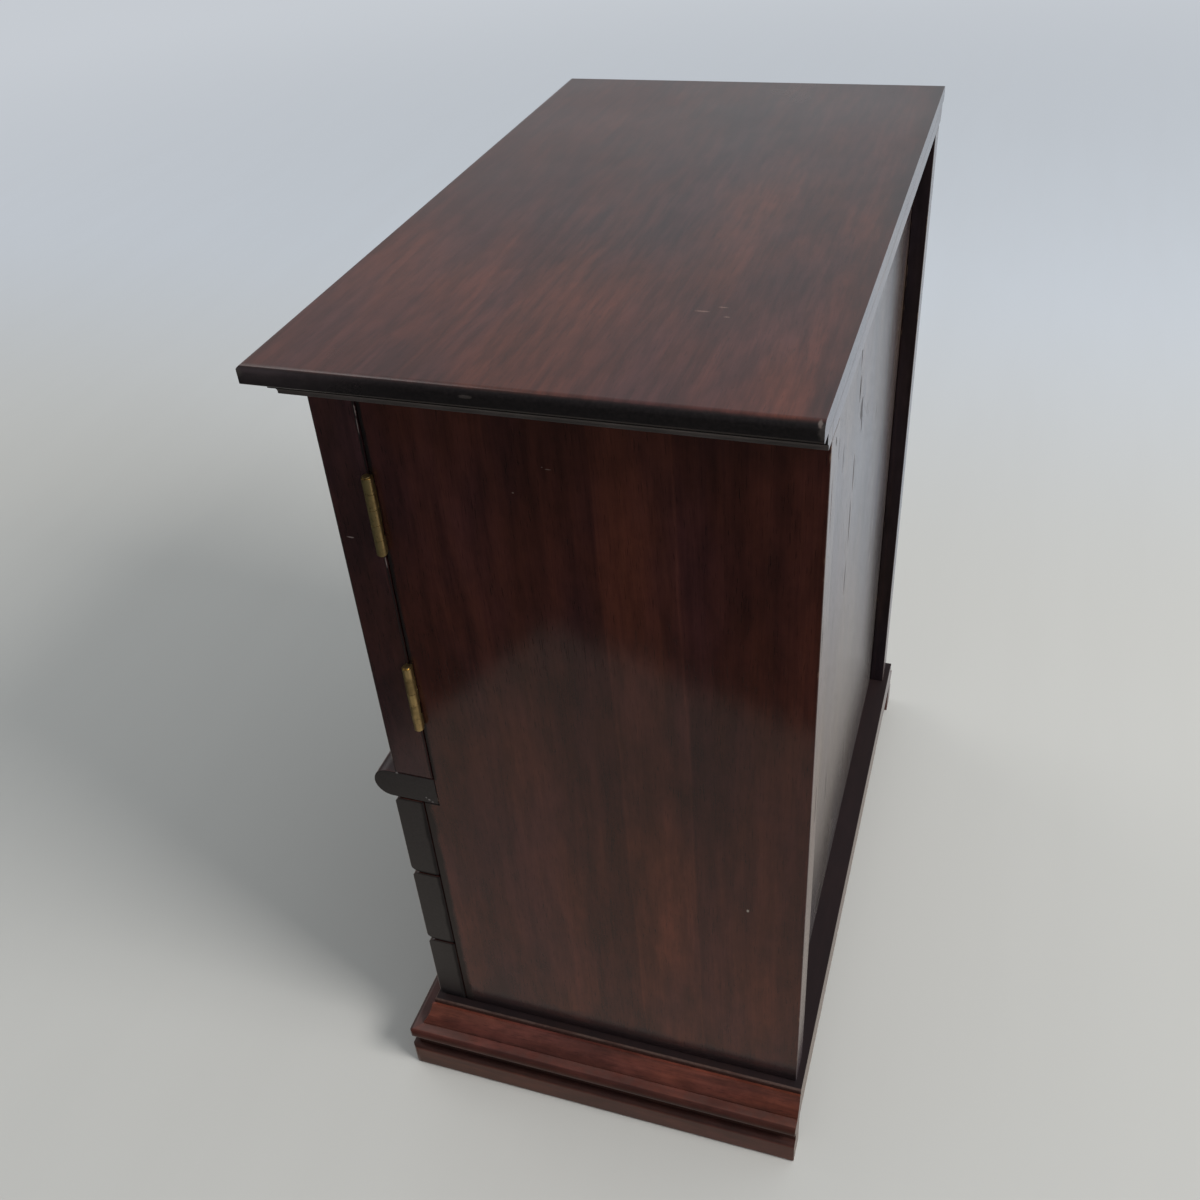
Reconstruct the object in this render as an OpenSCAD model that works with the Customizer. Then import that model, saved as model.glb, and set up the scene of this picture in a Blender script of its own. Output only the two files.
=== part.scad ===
// Table-top jewellery cabinet: a cupboard with two overlay doors above three overlay drawers.
// Millimetres. X is the width, the front faces -Y, +Z is up, and the origin is under the middle.

/* [Case] */
// Width over the two sides
case_w = 300; // [260:1:360]
// Depth of a side below the waist, without the drawer fronts
case_d = 164; // [140:1:210]
// Thickness of the sides
side_t = 15; // [12:0.5:18]
// Step by which the front edges of the sides lie further back above the waist
side_step = 7; // [5:0.5:10]
// Height of the drawer space, from the base board to the waist board
drawer_space_h = 141; // [136:1:170]
// Height of the cupboard, from the waist board to the sub-top
cupboard_h = 181; // [160:1:230]
// Thickness of the waist board
waist_t = 15; // [12:0.5:18]
// How far the round nose of the waist board stands ahead of the drawer fronts
waist_nose = 7.7; // [4:0.1:9]
// Thickness of the back panel
back_t = 5; // [4:0.5:7]
// Distance from the back edges of the sides to the back panel
back_inset = 8; // [4:0.5:12]
// Depth of the housings and grooves cut into the inner faces of the sides
housing = 4; // [3:0.5:5]
// Thickness of the cupboard shelf
shelf_t = 9; // [6:0.5:12]
// Height of the underside of the shelf above the waist board
shelf_up = 84; // [60:1:100]

/* [Top] */
// Thickness of the top board
top_t = 7; // [6:0.5:10]
// Overhang of the top board beyond each side
top_side_over = 15; // [13:0.5:20]
// Overhang of the top board ahead of the sub-top
top_front_over = 14; // [13:0.5:20]
// Rounding of the upper edge of the top board, along its front and its ends
top_arris_r = 3; // [1:0.25:4]
// Rounding of the plan corners at the front of the top board
top_corner_r = 1.5; // [0.5:0.5:3]
// Thickness of the sub-top, which is also the height of the moulding round it
sub_top_t = 7; // [6.5:0.5:9]
// Projection of the foot of the top moulding
top_foot_out = 6; // [4:0.25:6.5]
// Height of the upright face of that foot
top_foot_h = 0.8; // [0.6:0.1:2]
// Radius of the cove between the foot and the upper face of the top moulding
top_cove_r = 2.2; // [1.5:0.1:3]

/* [Base] */
// Height of the plinth, up to the face that the sides stand on
plinth_h = 41; // [39:0.5:50]
// Thickness of the base board
base_board_t = 20; // [14:0.5:26]
// Part of the base board's edge left bare above the base moulding
edge_reveal = 3; // [2:0.5:5]
// Ledge of the base board beyond each side
ledge_side = 4; // [2:0.25:6]
// Ledge of the base board ahead of the drawer fronts
ledge_front = 1.7; // [1:0.1:5]
// How far the base stands behind the sides
base_back_over = 3; // [0:0.5:6]
// Projection of the base moulding from the base board
plinth_out = 12; // [11:0.25:16]
// Rounding of the plan corners at the front of the base moulding
plinth_corner_r = 4; // [1:0.5:6]
// Height of the lowest, plain member of the base moulding
foot_h = 13.7; // [10:0.1:16]
// Height of the hollow between the plain member and the nosed lip
scotia_h = 6.7; // [4:0.1:7]
// Thickness of the nosed lip
lip_t = 5.8; // [4:0.1:6]

/* [Doors] */
// Thickness of a door
door_t = 18; // [16:0.5:22]
// Gap above and below a door
door_gap = 0.6; // [0.4:0.1:1.5]
// Gap between the two doors
meeting_gap = 1; // [0.6:0.1:2]
// Width of a door stile
stile_w = 28; // [24:1:36]
// Height of a door rail
rail_w = 30; // [24:1:40]
// Thickness of the raised panel at its middle
panel_t = 9; // [7:0.5:10]
// Width of the bevel round the raised field
panel_bevel = 12; // [8:1:16]
// Rounding of the outer front edges of a door
door_edge_r = 1.5; // [0.5:0.25:3]

/* [Hinges] */
// Length of a butt hinge
hinge_l = 32; // [25:1:40]
// Distance from a door's end to its hinge
hinge_inset = 31; // [20:1:40]
// Width of a hinge leaf on the wood
leaf_w = 11; // [9:0.5:12]
// Thickness of a hinge leaf
leaf_t = 1; // [0.8:0.1:1.3]
// Diameter of the hinge barrel
barrel_d = 4; // [3.6:0.1:5]
// Diameter of the hinge pin
pin_d = 1.9; // [1.5:0.1:2]
// Gap that the hinges keep between a door and the sides
hinge_gap = 0.5; // [0.4:0.1:0.8]

/* [Drawers] */
// Height of the fronts of the top and middle drawers; the bottom one takes what is left
upper_front_h = 47.5; // [40:0.5:48]
// Thickness of a drawer front
front_t = 14; // [13:0.5:18]
// Gap between two drawer fronts
front_gap = 1; // [0.6:0.1:2]
// Rounding of the upper and lower edges of a drawer front
front_edge_r = 4; // [1:0.5:5]
// Rounding of the upright edges at the ends of a drawer front
front_end_r = 0.75; // [0.5:0.25:2]
// Thickness of the sides and back of a drawer
box_t = 8; // [7:0.5:10]
// Gap between a drawer and the sides of the case
box_side_gap = 1; // [0.6:0.1:1.5]
// Space behind a closed drawer
box_back_gap = 6.5; // [3:0.5:12]
// Thickness of a drawer bottom
bottom_t = 3; // [2.5:0.5:4]
// Thickness of the felt in a drawer
felt_t = 1.2; // [0.8:0.1:2]
// Height of a drawer runner
runner_h = 7; // [5:0.5:9]

/* [Knobs] */
// Diameter of a knob
knob_d = 12; // [9:0.5:16]
// Projection of a knob
knob_l = 13; // [11:0.5:13.5]
// Distance between the two knobs of a drawer
knob_spread = 150; // [100:5:200]

/* [Hidden] */
$fn = 48;

// Colours of the finishes
mahogany = [0.23, 0.12, 0.10];
red_mahogany = [0.30, 0.16, 0.13];
top_mahogany = [0.34, 0.24, 0.22];
dark_stain = [0.14, 0.12, 0.12];
inner_wood = [0.62, 0.45, 0.30];
back_wood = [0.42, 0.36, 0.33];
brass = [0.62, 0.50, 0.24];
steel = [0.62, 0.62, 0.64];
felt_red = [0.42, 0.05, 0.09];

// Overshoot of every cut past the face that it opens
cut = 1;
// Clearance of a panel in its groove, on each face
panel_clear = 0.2;
// Radial clearance of every screw and shank in its hole
screw_clear = 0.05;

// Heights of the main faces
waist_low = plinth_h + drawer_space_h;
waist_high = waist_low + waist_t;
sub_low = waist_high + cupboard_h;
sub_high = sub_low + sub_top_t;
total_h = sub_high + top_t;

// Faces across the width, on the right-hand side
out_x = case_w / 2;
in_x = out_x - side_t;
ledge_x = out_x + ledge_side;

// Faces along the depth; the base is centred on the origin
front_seat_gap = 0.3;
total_d = base_back_over + case_d + front_seat_gap + front_t + ledge_front + plinth_out;
base_back_y = total_d / 2;
back_y = base_back_y - base_back_over;
lower_y = back_y - case_d;
upper_y = lower_y + side_step;
front_back_y = lower_y - front_seat_gap;
front_face_y = front_back_y - front_t;
ledge_y = front_face_y - ledge_front;
door_back_y = upper_y - hinge_gap;
door_face_y = door_back_y - door_t;
panel_back_y = back_y - back_inset;
panel_front_y = panel_back_y - back_t;
nose_y = front_face_y - waist_nose + waist_t / 2;

// Shelf, set back behind the doors
shelf_low = waist_high + shelf_up;
shelf_setback = 4;
shelf_front_y = upper_y + shelf_setback;

// Top moulding, and small roundings
top_fillet_out = top_foot_out + top_cove_r;
top_under_r = 1.25;
ledge_r = 1.2;

// Base moulding: hollow, lip, quirk and raking upper face
scotia_in = 3.5;
scotia_out = plinth_out - scotia_in;
quirk_in = 6.3;
quirk_out = plinth_out - quirk_in;
quirk_h = 0.8;
rake_out = 1.2;
rake_hollow = 0.9;
foot_low_r = 1.5;
foot_high_r = 2;

// Doors
door_low = waist_high + door_gap;
door_high = sub_low - door_gap;
door_in_x = meeting_gap / 2;
door_mid_y = door_back_y - door_t / 2;
door_mid_z = (door_low + door_high) / 2;
tongue_t = 4.6;
groove_w = tongue_t + 2 * panel_clear;
groove_d = 6;
tongue_end_gap = 0.3;
tenon_t = 6;
tenon_l = 16;
tenon_shoulder = 8;

// Hinges
hinge_x = out_x + barrel_d / 2 + 0.2;
hinge_y = upper_y - hinge_gap / 2;
hinge_z = [door_low + hinge_inset + hinge_l / 2, door_high - hinge_inset - hinge_l / 2];
knuckle_count = 5;
knuckle_gap = 0.15;
knuckle_l = (hinge_l - (knuckle_count - 1) * knuckle_gap) / knuckle_count;
pin_clear = 0.05;
pin_cap_d = 3;
pin_cap_t = 0.6;
screw_z = [-hinge_l / 4, hinge_l / 4];
screw_d = 2;
screw_head_d = 3.6;
screw_l = 10;

// Magnetic catch and its strikes
catch_w = 40;
catch_h = 9;
catch_d = 12;
strike_w = 14;
strike_h = 7;
strike_t = 1;
strike_x = 4;

// Drawers
drawer_names = ["top", "middle", "bottom"];
box_low_gap = 4;
box_high_gap = 5;
box_out_x = in_x - box_side_gap;
box_in_x = box_out_x - box_t;
box_back_y = panel_front_y - box_back_gap;
box_back_in_y = box_back_y - box_t;
bottom_up = 5;
bottom_groove = 3;
bottom_clear = 0.1;
tail_count = 2;
tail_slope = 1 / 6;
tongue_d = 5;
tongue_neck = 4.5;
tongue_wide = 6.5;
runner_in = 2;
runner_out = 4.5;
runner_set = 8;
runner_end_gap = 3;
runner_top_gap = 0.2;
runner_low_gap = 0.6;
groove_floor_gap = 0.5;
felt_edge_gap = 0.3;

// Knobs
shank_d = 3;
shank_l = 9;

// Heights of a drawer front; drawer 0 is the top one
function front_high(i) = waist_low - door_gap - i * (upper_front_h + front_gap);
function front_low(i) = i < 2 ? front_high(i) - upper_front_h : plinth_h + door_gap;
function box_low(i) = front_low(i) + box_low_gap;
function box_high(i) = front_high(i) - box_high_gap;
function bottom_top(i) = box_low(i) + bottom_up + bottom_t;
function back_low(i) = bottom_top(i) + bottom_clear;
function runner_mid(i) = (box_low(i) + box_high(i)) / 2;

// A box between two opposite corners
module block(lo, hi) {
  translate(lo) cube(hi - lo);
}

// Turns a section drawn across the front (x, z) into a bar along the depth
module along_depth(y0, y1) {
  translate([0, y1, 0]) rotate([90, 0, 0]) linear_extrude(y1 - y0) children();
}

// Turns a section drawn from the side (y, z) into a bar along the width
module along_width(x0, x1) {
  translate([x0, 0, 0]) rotate([90, 0, 90]) linear_extrude(x1 - x0) children();
}

// Rectangle from lo to hi with its own radius at each corner:
// low left, low right, high right, high left
module eased(lo, hi, r) {
  corner = [[0, 0, 1, 1], [1, 0, -1, 1], [1, 1, -1, -1], [0, 1, 1, -1]];
  size = hi - lo;
  difference() {
    translate(lo) square(size);
    for (k = [0:3]) if (r[k] > 0) {
      at = [lo.x + corner[k][0] * size.x, lo.y + corner[k][1] * size.y];
      in = [corner[k][2], corner[k][3]];
      difference() {
        translate(at - [in.x < 0 ? r[k] : cut / 2, in.y < 0 ? r[k] : cut / 2])
          square(r[k] + cut / 2);
        translate(at + in * r[k]) circle(r[k]);
      }
    }
  }
}

// TOP

module top_board() {
  x = out_x + top_side_over;
  y = door_face_y - top_front_over;
  color(top_mahogany) intersection() {
    along_depth(y, back_y)
      eased([-x, sub_high], [x, total_h], [top_under_r, top_under_r, top_arris_r, top_arris_r]);
    along_width(-x, x)
      eased([y, sub_high], [back_y, total_h], [top_under_r, 0, 0, top_arris_r]);
    translate([0, 0, sub_high]) linear_extrude(top_t)
      eased([-x, y], [x, back_y], [top_corner_r, top_corner_r, 0, 0]);
  }
}

module sub_top() {
  color(mahogany) block([-out_x, door_face_y, sub_low], [out_x, back_y, sub_high]);
}

// Section of the top moulding, outwards from the edge of the sub-top: a low foot and a cove
module top_section() {
  square([top_foot_out, sub_top_t]);
  difference() {
    translate([0, top_foot_h]) square([top_fillet_out, sub_top_t - top_foot_h]);
    translate([top_fillet_out, top_foot_h]) circle(top_cove_r);
  }
}

module top_moulding_front() {
  reach = out_x + top_fillet_out;
  color(dark_stain) intersection() {
    along_width(-reach, reach)
      translate([door_face_y, sub_low]) mirror([1, 0]) top_section();
    front_mitre(out_x, door_face_y, top_fillet_out, sub_low, sub_high);
  }
}

module top_moulding_side() {
  color(dark_stain) intersection() {
    along_depth(door_face_y - top_fillet_out, back_y)
      translate([out_x, sub_low]) top_section();
    side_mitre(out_x, door_face_y, back_y, top_fillet_out, sub_low, sub_high);
  }
}

// Plan of a front moulding, mitred at both ends
module front_mitre(x, y, out, z0, z1) {
  translate([0, 0, z0]) linear_extrude(z1 - z0)
    polygon([[-x, y], [-x - out, y - out], [x + out, y - out], [x, y]]);
}

// Plan of the right-hand side moulding, mitred at the front
module side_mitre(x, y, back, out, z0, z1) {
  translate([0, 0, z0]) linear_extrude(z1 - z0)
    polygon([[x, y], [x + out, y - out], [x + out, back], [x, back]]);
}

// CASE

// Right-hand side board, with its housings, hinge seats and screw holes
module side_board() {
  color(mahogany) difference() {
    union() {
      block([in_x, upper_y, plinth_h], [out_x, back_y, sub_low]);
      block([in_x, lower_y, plinth_h], [out_x, back_y, waist_low]);
    }
    block([in_x - cut, upper_y - cut, waist_low], [in_x + housing, panel_front_y, waist_high]);
    block([in_x - cut, shelf_front_y, shelf_low],
      [in_x + housing, panel_front_y, shelf_low + shelf_t]);
    block([in_x - cut, panel_front_y, plinth_h - cut],
      [in_x + housing, panel_back_y + panel_clear, sub_low + cut]);
    for (i = [0:2]) runner_space(i);
    for (z = hinge_z) {
      block([out_x - leaf_w, upper_y - cut, z - hinge_l / 2],
        [out_x + cut, upper_y + leaf_t, z + hinge_l / 2]);
      for (s = screw_z) frame_screw_at(z + s) screw_hole();
    }
  }
}

// Housing of one runner in the side board
module runner_space(i) {
  block([in_x - cut, lower_y + runner_set, runner_mid(i) - runner_h / 2],
    [in_x + runner_in, panel_front_y - runner_end_gap, runner_mid(i) + runner_h / 2]);
}

module runner_set_right() {
  color(inner_wood) for (i = [0:2])
    block([in_x - runner_out, lower_y + runner_set, runner_mid(i) - runner_h / 2],
      [in_x + runner_in, panel_front_y - runner_end_gap, runner_mid(i) + runner_h / 2]);
}

module back_panel() {
  x = in_x + housing - panel_clear;
  color(back_wood) block([-x, panel_front_y, plinth_h], [x, panel_back_y, sub_low]);
}

// The waist board is housed in the sides and covers their front edges with its two horns
module waist_board() {
  color(mahogany) {
    union() {
      block([-in_x - housing, nose_y, waist_low], [in_x + housing, panel_front_y, waist_high]);
      block([-out_x, nose_y, waist_low], [out_x, upper_y, waist_high]);
      along_width(-out_x, out_x)
        translate([nose_y, waist_low + waist_t / 2]) circle(waist_t / 2);
    }
  }
}

module cupboard_shelf() {
  x = in_x + housing;
  r = shelf_t / 3;
  color(inner_wood) along_width(-x, x)
    eased([shelf_front_y, shelf_low], [panel_front_y, shelf_low + shelf_t], [r, 0, 0, r]);
}

// BASE

module base_board() {
  low = plinth_h - base_board_t;
  color(mahogany) intersection() {
    along_depth(ledge_y, base_back_y)
      eased([-ledge_x, low], [ledge_x, plinth_h], [0, 0, ledge_r, ledge_r]);
    along_width(-ledge_x, ledge_x)
      eased([ledge_y, low], [base_back_y, plinth_h], [0, 0, 0, ledge_r]);
  }
}

// Section of the base moulding, outwards from the edge of the base board
module base_section() {
  lip_z = foot_h + scotia_h;
  quirk_z = lip_z + lip_t;
  rake_z = quirk_z + quirk_h;
  top_z = plinth_h - edge_reveal;
  eased([0, 0], [plinth_out, foot_h], [0, foot_low_r, foot_high_r, 0]);
  square([scotia_out, lip_z + lip_t / 2]);
  translate([0, lip_z]) square([plinth_out - lip_t / 2, lip_t]);
  translate([plinth_out - lip_t / 2, lip_z + lip_t / 2]) circle(lip_t / 2);
  square([quirk_out, rake_z]);
  difference() {
    polygon([[0, quirk_z], [quirk_out, rake_z], [rake_out, top_z], [0, top_z]]);
    rake_circle([quirk_out, rake_z], [rake_out, top_z], rake_hollow);
  }
}

// Circle that hollows the straight edge from a to b by the depth given
module rake_circle(a, b, depth) {
  chord = norm(b - a);
  r = (chord * chord / 4 + depth * depth) / (2 * depth);
  outward = [b.y - a.y, a.x - b.x] / chord;
  translate((a + b) / 2 + outward * (r - depth)) circle(r, $fn = 180);
}

// Plan of the whole plinth, with its front corners rounded
module plinth_plan() {
  x = ledge_x + plinth_out;
  r = plinth_corner_r;
  linear_extrude(plinth_h) eased([-x, ledge_y - plinth_out], [x, base_back_y], [r, r, 0, 0]);
}

module base_moulding_front() {
  reach = ledge_x + plinth_out;
  color(red_mahogany) intersection() {
    along_width(-reach, reach) translate([ledge_y, 0]) mirror([1, 0]) base_section();
    front_mitre(ledge_x, ledge_y, plinth_out, 0, plinth_h);
    plinth_plan();
  }
}

module base_moulding_side() {
  color(red_mahogany) intersection() {
    along_depth(ledge_y - plinth_out, base_back_y) translate([ledge_x, 0]) base_section();
    side_mitre(ledge_x, ledge_y, base_back_y, plinth_out, 0, plinth_h);
    plinth_plan();
  }
}

// HINGES, drawn for the right-hand door

// The stretches of the barrel that belong to one leaf: even ones to the case, odd ones to the door
module knuckles(first) {
  for (k = [first:2:knuckle_count - 1])
    translate([0, 0, -hinge_l / 2 + k * (knuckle_l + knuckle_gap)])
      children();
}

// One leaf round the origin; side is 1 for the case and -1 for the door
module leaf(side, first) {
  plate_x = out_x - leaf_w - hinge_x;
  face_y = hinge_gap / 2;
  low_y = side > 0 ? face_y : -face_y - leaf_t;
  difference() {
    union() {
      block([plate_x, low_y, -hinge_l / 2], [out_x - hinge_x, low_y + leaf_t, hinge_l / 2]);
      knuckles(first) {
        cylinder(h = knuckle_l, d = barrel_d);
      }
      knuckles(first) block([out_x - hinge_x, low_y, 0], [0, low_y + leaf_t, knuckle_l]);
    }
    translate([0, 0, -hinge_l / 2 - cut])
      cylinder(h = hinge_l + 2 * cut, d = pin_d + 2 * pin_clear);
    for (s = screw_z) translate([out_x - leaf_w / 2 - hinge_x, side * face_y, s])
      rotate([side > 0 ? -90 : 90, 0, 0]) countersink();
  }
}

// Hole through a leaf for a flat-headed screw that goes in along +Z
module countersink() {
  cylinder(h = leaf_t, d1 = screw_head_d + 2 * screw_clear, d2 = screw_d + 2 * screw_clear);
  translate([0, 0, -cut]) cylinder(h = cut, d = screw_head_d + 2 * screw_clear);
  cylinder(h = leaf_t + cut, d = screw_d + 2 * screw_clear);
}

// Flat-headed screw that goes in along +Z, with its head on the origin
module leaf_screw() {
  cylinder(h = leaf_t, d1 = screw_head_d, d2 = screw_d);
  cylinder(h = screw_l - screw_d / 2, d = screw_d);
  translate([0, 0, screw_l - screw_d / 2]) cylinder(h = screw_d / 2, d1 = screw_d, d2 = 0.2);
}

// Hole in the wood for that screw
module screw_hole() {
  cylinder(h = screw_l + screw_clear, d = screw_d + 2 * screw_clear);
}

// Places of the screws in the side's front edge and in the door's back face
module frame_screw_at(z) {
  translate([out_x - leaf_w / 2, upper_y, z]) rotate([-90, 0, 0]) children();
}

module door_screw_at(z) {
  translate([out_x - leaf_w / 2, door_back_y, z]) rotate([90, 0, 0]) children();
}

module frame_leaves() {
  color(brass) for (z = hinge_z) translate([hinge_x, hinge_y, z]) leaf(1, 0);
}

module door_leaves() {
  color(brass) for (z = hinge_z) translate([hinge_x, hinge_y, z]) leaf(-1, 1);
}

// Pins of both hinges of the right-hand door, with a small cap on each end
module pins() {
  for (z = hinge_z) translate([hinge_x, hinge_y, z]) {
    cylinder(h = hinge_l + 0.02, d = pin_d, center = true);
    for (e = [-1, 1]) scale([1, 1, e])
      translate([0, 0, hinge_l / 2]) cylinder(h = pin_cap_t, d = pin_cap_d);
  }
}

module hinge_pins() {
  color(brass) {
    pins();
    mirror([1, 0, 0]) pins();
  }
}

module frame_screws() {
  for (z = hinge_z) for (s = screw_z) frame_screw_at(z + s) leaf_screw();
}

module frame_leaf_screws() {
  color(brass) {
    frame_screws();
    mirror([1, 0, 0]) frame_screws();
  }
}

module door_leaf_screws() {
  color(brass) for (z = hinge_z) for (s = screw_z) door_screw_at(z + s) leaf_screw();
}

// DOORS, drawn for the right-hand door

// Room for the edge of the panel, from x0 to x1 and z0 to z1
module panel_groove(x0, x1, z0, z1) {
  block([x0, door_mid_y - groove_w / 2, z0], [x1, door_mid_y + groove_w / 2, z1]);
}

// Both tenons of the rail that runs from z0 to z1
module tenons(z0, z1) {
  block([door_in_x + stile_w - tenon_l, door_mid_y - tenon_t / 2, z0],
    [out_x - stile_w + tenon_l, door_mid_y + tenon_t / 2, z1]);
}

module all_tenons() {
  tenons(door_low + tenon_shoulder, door_low + rail_w - groove_d);
  tenons(door_high - rail_w + groove_d, door_high - tenon_shoulder);
}

// A stile from x0 to x1 with its outer front edge, on the side given, rounded
module stile_blank(x0, x1, outer_right) {
  r = door_edge_r;
  difference() {
    intersection() {
      translate([0, 0, door_low]) linear_extrude(door_high - door_low)
        eased([x0, door_face_y], [x1, door_back_y],
          [outer_right ? 0 : r, outer_right ? r : 0, 0, 0]);
      along_width(x0, x1)
        eased([door_face_y, door_low], [door_back_y, door_high], [r, 0, 0, r]);
    }
    all_tenons();
    panel_groove(door_in_x + stile_w - groove_d, out_x - stile_w + groove_d,
      door_low + rail_w - groove_d, door_high - rail_w + groove_d);
  }
}

module hinge_stile() {
  color(mahogany) difference() {
    stile_blank(out_x - stile_w, out_x, true);
    for (z = hinge_z) {
      block([out_x - leaf_w, door_back_y - leaf_t, z - hinge_l / 2],
        [out_x + cut, door_back_y + cut, z + hinge_l / 2]);
      for (s = screw_z) door_screw_at(z + s) screw_hole();
    }
  }
}

module meeting_stile() {
  color(mahogany) difference() {
    stile_blank(door_in_x, door_in_x + stile_w, false);
    knob_at(door_in_x + stile_w / 2, door_face_y, door_mid_z) shank_hole();
    strike_block(cut);
  }
}

// Rail from z0 to z1; its outer front edge is the upper or the lower one
module rail(z0, z1, outer_high) {
  r = door_edge_r;
  x0 = door_in_x + stile_w;
  x1 = out_x - stile_w;
  tenon_low = outer_high ? z0 + groove_d : z0 + tenon_shoulder;
  tenon_high = outer_high ? z1 - tenon_shoulder : z1 - groove_d;
  color(mahogany) {
    difference() {
      union() {
        along_width(x0, x1)
          eased([door_face_y, z0], [door_back_y, z1], [outer_high ? 0 : r, 0, 0, outer_high ? r : 0]);
        tenons(tenon_low, tenon_high);
      }
      if (outer_high) panel_groove(x0 - cut, x1 + cut, z0 - cut, z0 + groove_d);
      else panel_groove(x0 - cut, x1 + cut, z1 - groove_d, z1 + cut);
    }
  }
}

module top_rail() {
  rail(door_high - rail_w, door_high, true);
}

module bottom_rail() {
  rail(door_low, door_low + rail_w, false);
}

// Raised and fielded panel: a thin tongue all round and a bevelled field
module door_panel() {
  reach = groove_d - tongue_end_gap;
  x0 = door_in_x + stile_w;
  x1 = out_x - stile_w;
  z0 = door_low + rail_w;
  z1 = door_high - rail_w;
  back = door_mid_y + tongue_t / 2;
  front = back - tongue_t;
  field = back - panel_t;
  b = panel_bevel;
  color(mahogany) {
    union() {
      block([x0 - reach, front, z0 - reach], [x1 + reach, back, z1 + reach]);
      intersection() {
        translate([0, 0, z0]) linear_extrude(z1 - z0)
          polygon([[x0, front], [x0 + b, field], [x1 - b, field], [x1, front], [x1, back],
            [x0, back]]);
        along_width(x0, x1)
          polygon([[front, z0], [field, z0 + b], [field, z1 - b], [front, z1], [back, z1],
            [back, z0]]);
      }
    }
  }
}

module door_knob() {
  color(brass) knob_at(door_in_x + stile_w / 2, door_face_y, door_mid_z) knob();
}

// Steel plate let into the back of the meeting stile
module strike_block(over) {
  high = door_high - door_gap;
  block([strike_x, door_back_y - strike_t, high - strike_h],
    [strike_x + strike_w, door_back_y + over, high]);
}

module strike() {
  color(steel) strike_block(0);
}

// Magnet case under the sub-top; its pole plates meet the strikes of both doors
module magnetic_catch() {
  r = 2;
  color(steel) translate([0, 0, sub_low - catch_h]) linear_extrude(catch_h)
    eased([-catch_w / 2, upper_y], [catch_w / 2, upper_y + catch_d], [0, 0, r, r]);
}

// KNOBS

// Places something that stands out towards the front
module knob_at(x, y, z) {
  translate([x, y, z]) rotate([90, 0, 0]) children();
}

// Turned knob with a rose, a neck and a crowned head, on a shank that goes into the wood
module knob() {
  rose_t = 1.2;
  rose_r = knob_d * 0.36;
  neck_r = knob_d * 0.2;
  head_t = knob_l * 0.4;
  crown_r = knob_d * 1.1;
  rotate_extrude() {
    square([rose_r - rose_t / 2, rose_t]);
    translate([rose_r - rose_t / 2, rose_t / 2]) intersection() {
      circle(rose_t / 2);
      translate([0, -rose_t]) square(2 * rose_t);
    }
    square([neck_r, knob_l - head_t / 2]);
    intersection() {
      union() {
        translate([0, knob_l - head_t]) square([knob_d / 2 - head_t / 2, head_t]);
        translate([knob_d / 2 - head_t / 2, knob_l - head_t / 2]) circle(head_t / 2);
      }
      translate([0, knob_l - crown_r]) circle(crown_r, $fn = 180);
      square([knob_d, knob_l + cut]);
    }
  }
  translate([0, 0, -shank_l]) cylinder(h = shank_l + rose_t, d = shank_d);
}

module shank_hole() {
  translate([0, 0, -shank_l - screw_clear])
    cylinder(h = shank_l + screw_clear + cut, d = shank_d + 2 * screw_clear);
}

// DRAWERS, 0 at the top to 2 at the bottom

// Plan of the dovetailed tongue on the front end of a drawer's right-hand side
module tongue_plan() {
  mid = (box_in_x + box_out_x) / 2;
  root_y = front_back_y + cut;
  polygon([[mid - tongue_neck / 2, root_y], [mid - tongue_neck / 2, front_back_y],
    [mid - tongue_wide / 2, front_back_y - tongue_d],
    [mid + tongue_wide / 2, front_back_y - tongue_d],
    [mid + tongue_neck / 2, front_back_y], [mid + tongue_neck / 2, root_y]]);
}

module drawer_front(i) {
  low = front_low(i);
  high = front_high(i);
  r = front_edge_r;
  color(mahogany) difference() {
    intersection() {
      along_width(-out_x, out_x)
        eased([front_face_y, low], [front_back_y, high], [r, 0, 0, r]);
      translate([0, 0, low]) linear_extrude(high - low)
        eased([-out_x, front_face_y], [out_x, front_back_y], [front_end_r, front_end_r, 0, 0]);
    }
    for (s = [0, 1]) mirror([s, 0, 0]) {
      translate([0, 0, low - cut]) linear_extrude(box_high(i) - low + cut) tongue_plan();
      knob_at(knob_spread / 2, front_face_y, (low + high) / 2) shank_hole();
    }
    bottom_space(i);
  }
}

// Right-hand side of a drawer: tongue in front, tails behind, groove for the runner outside
module drawer_side(i) {
  low = box_low(i);
  high = box_high(i);
  color(inner_wood) difference() {
    union() {
      block([box_in_x, front_back_y, low], [box_out_x, box_back_in_y, high]);
      translate([0, 0, low]) linear_extrude(high - low) tongue_plan();
      block([box_in_x, front_back_y, low], [box_out_x, box_back_y, back_low(i)]);
      tails(i);
    }
    runner_groove(i);
    bottom_space(i);
  }
}

// Tails of the right-hand side, which lie in the back
module tails(i) {
  pitch = (box_high(i) - back_low(i)) / tail_count;
  narrow = pitch / 4;
  wide = narrow + box_t * tail_slope;
  root_y = box_back_in_y - cut;
  for (k = [0:tail_count - 1]) {
    mid = back_low(i) + pitch * (k + 0.5);
    along_width(box_in_x, box_out_x)
      polygon([[root_y, mid - narrow], [box_back_in_y, mid - narrow], [box_back_y, mid - wide],
        [box_back_y, mid + wide], [box_back_in_y, mid + narrow], [root_y, mid + narrow]]);
  }
}

module runner_groove(i) {
  floor_x = in_x - runner_out - groove_floor_gap;
  block([floor_x, front_back_y + runner_set / 2, runner_mid(i) - runner_h / 2 - runner_low_gap],
    [box_out_x + cut, box_back_y + cut, runner_mid(i) + runner_h / 2 + runner_top_gap]);
}

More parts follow.
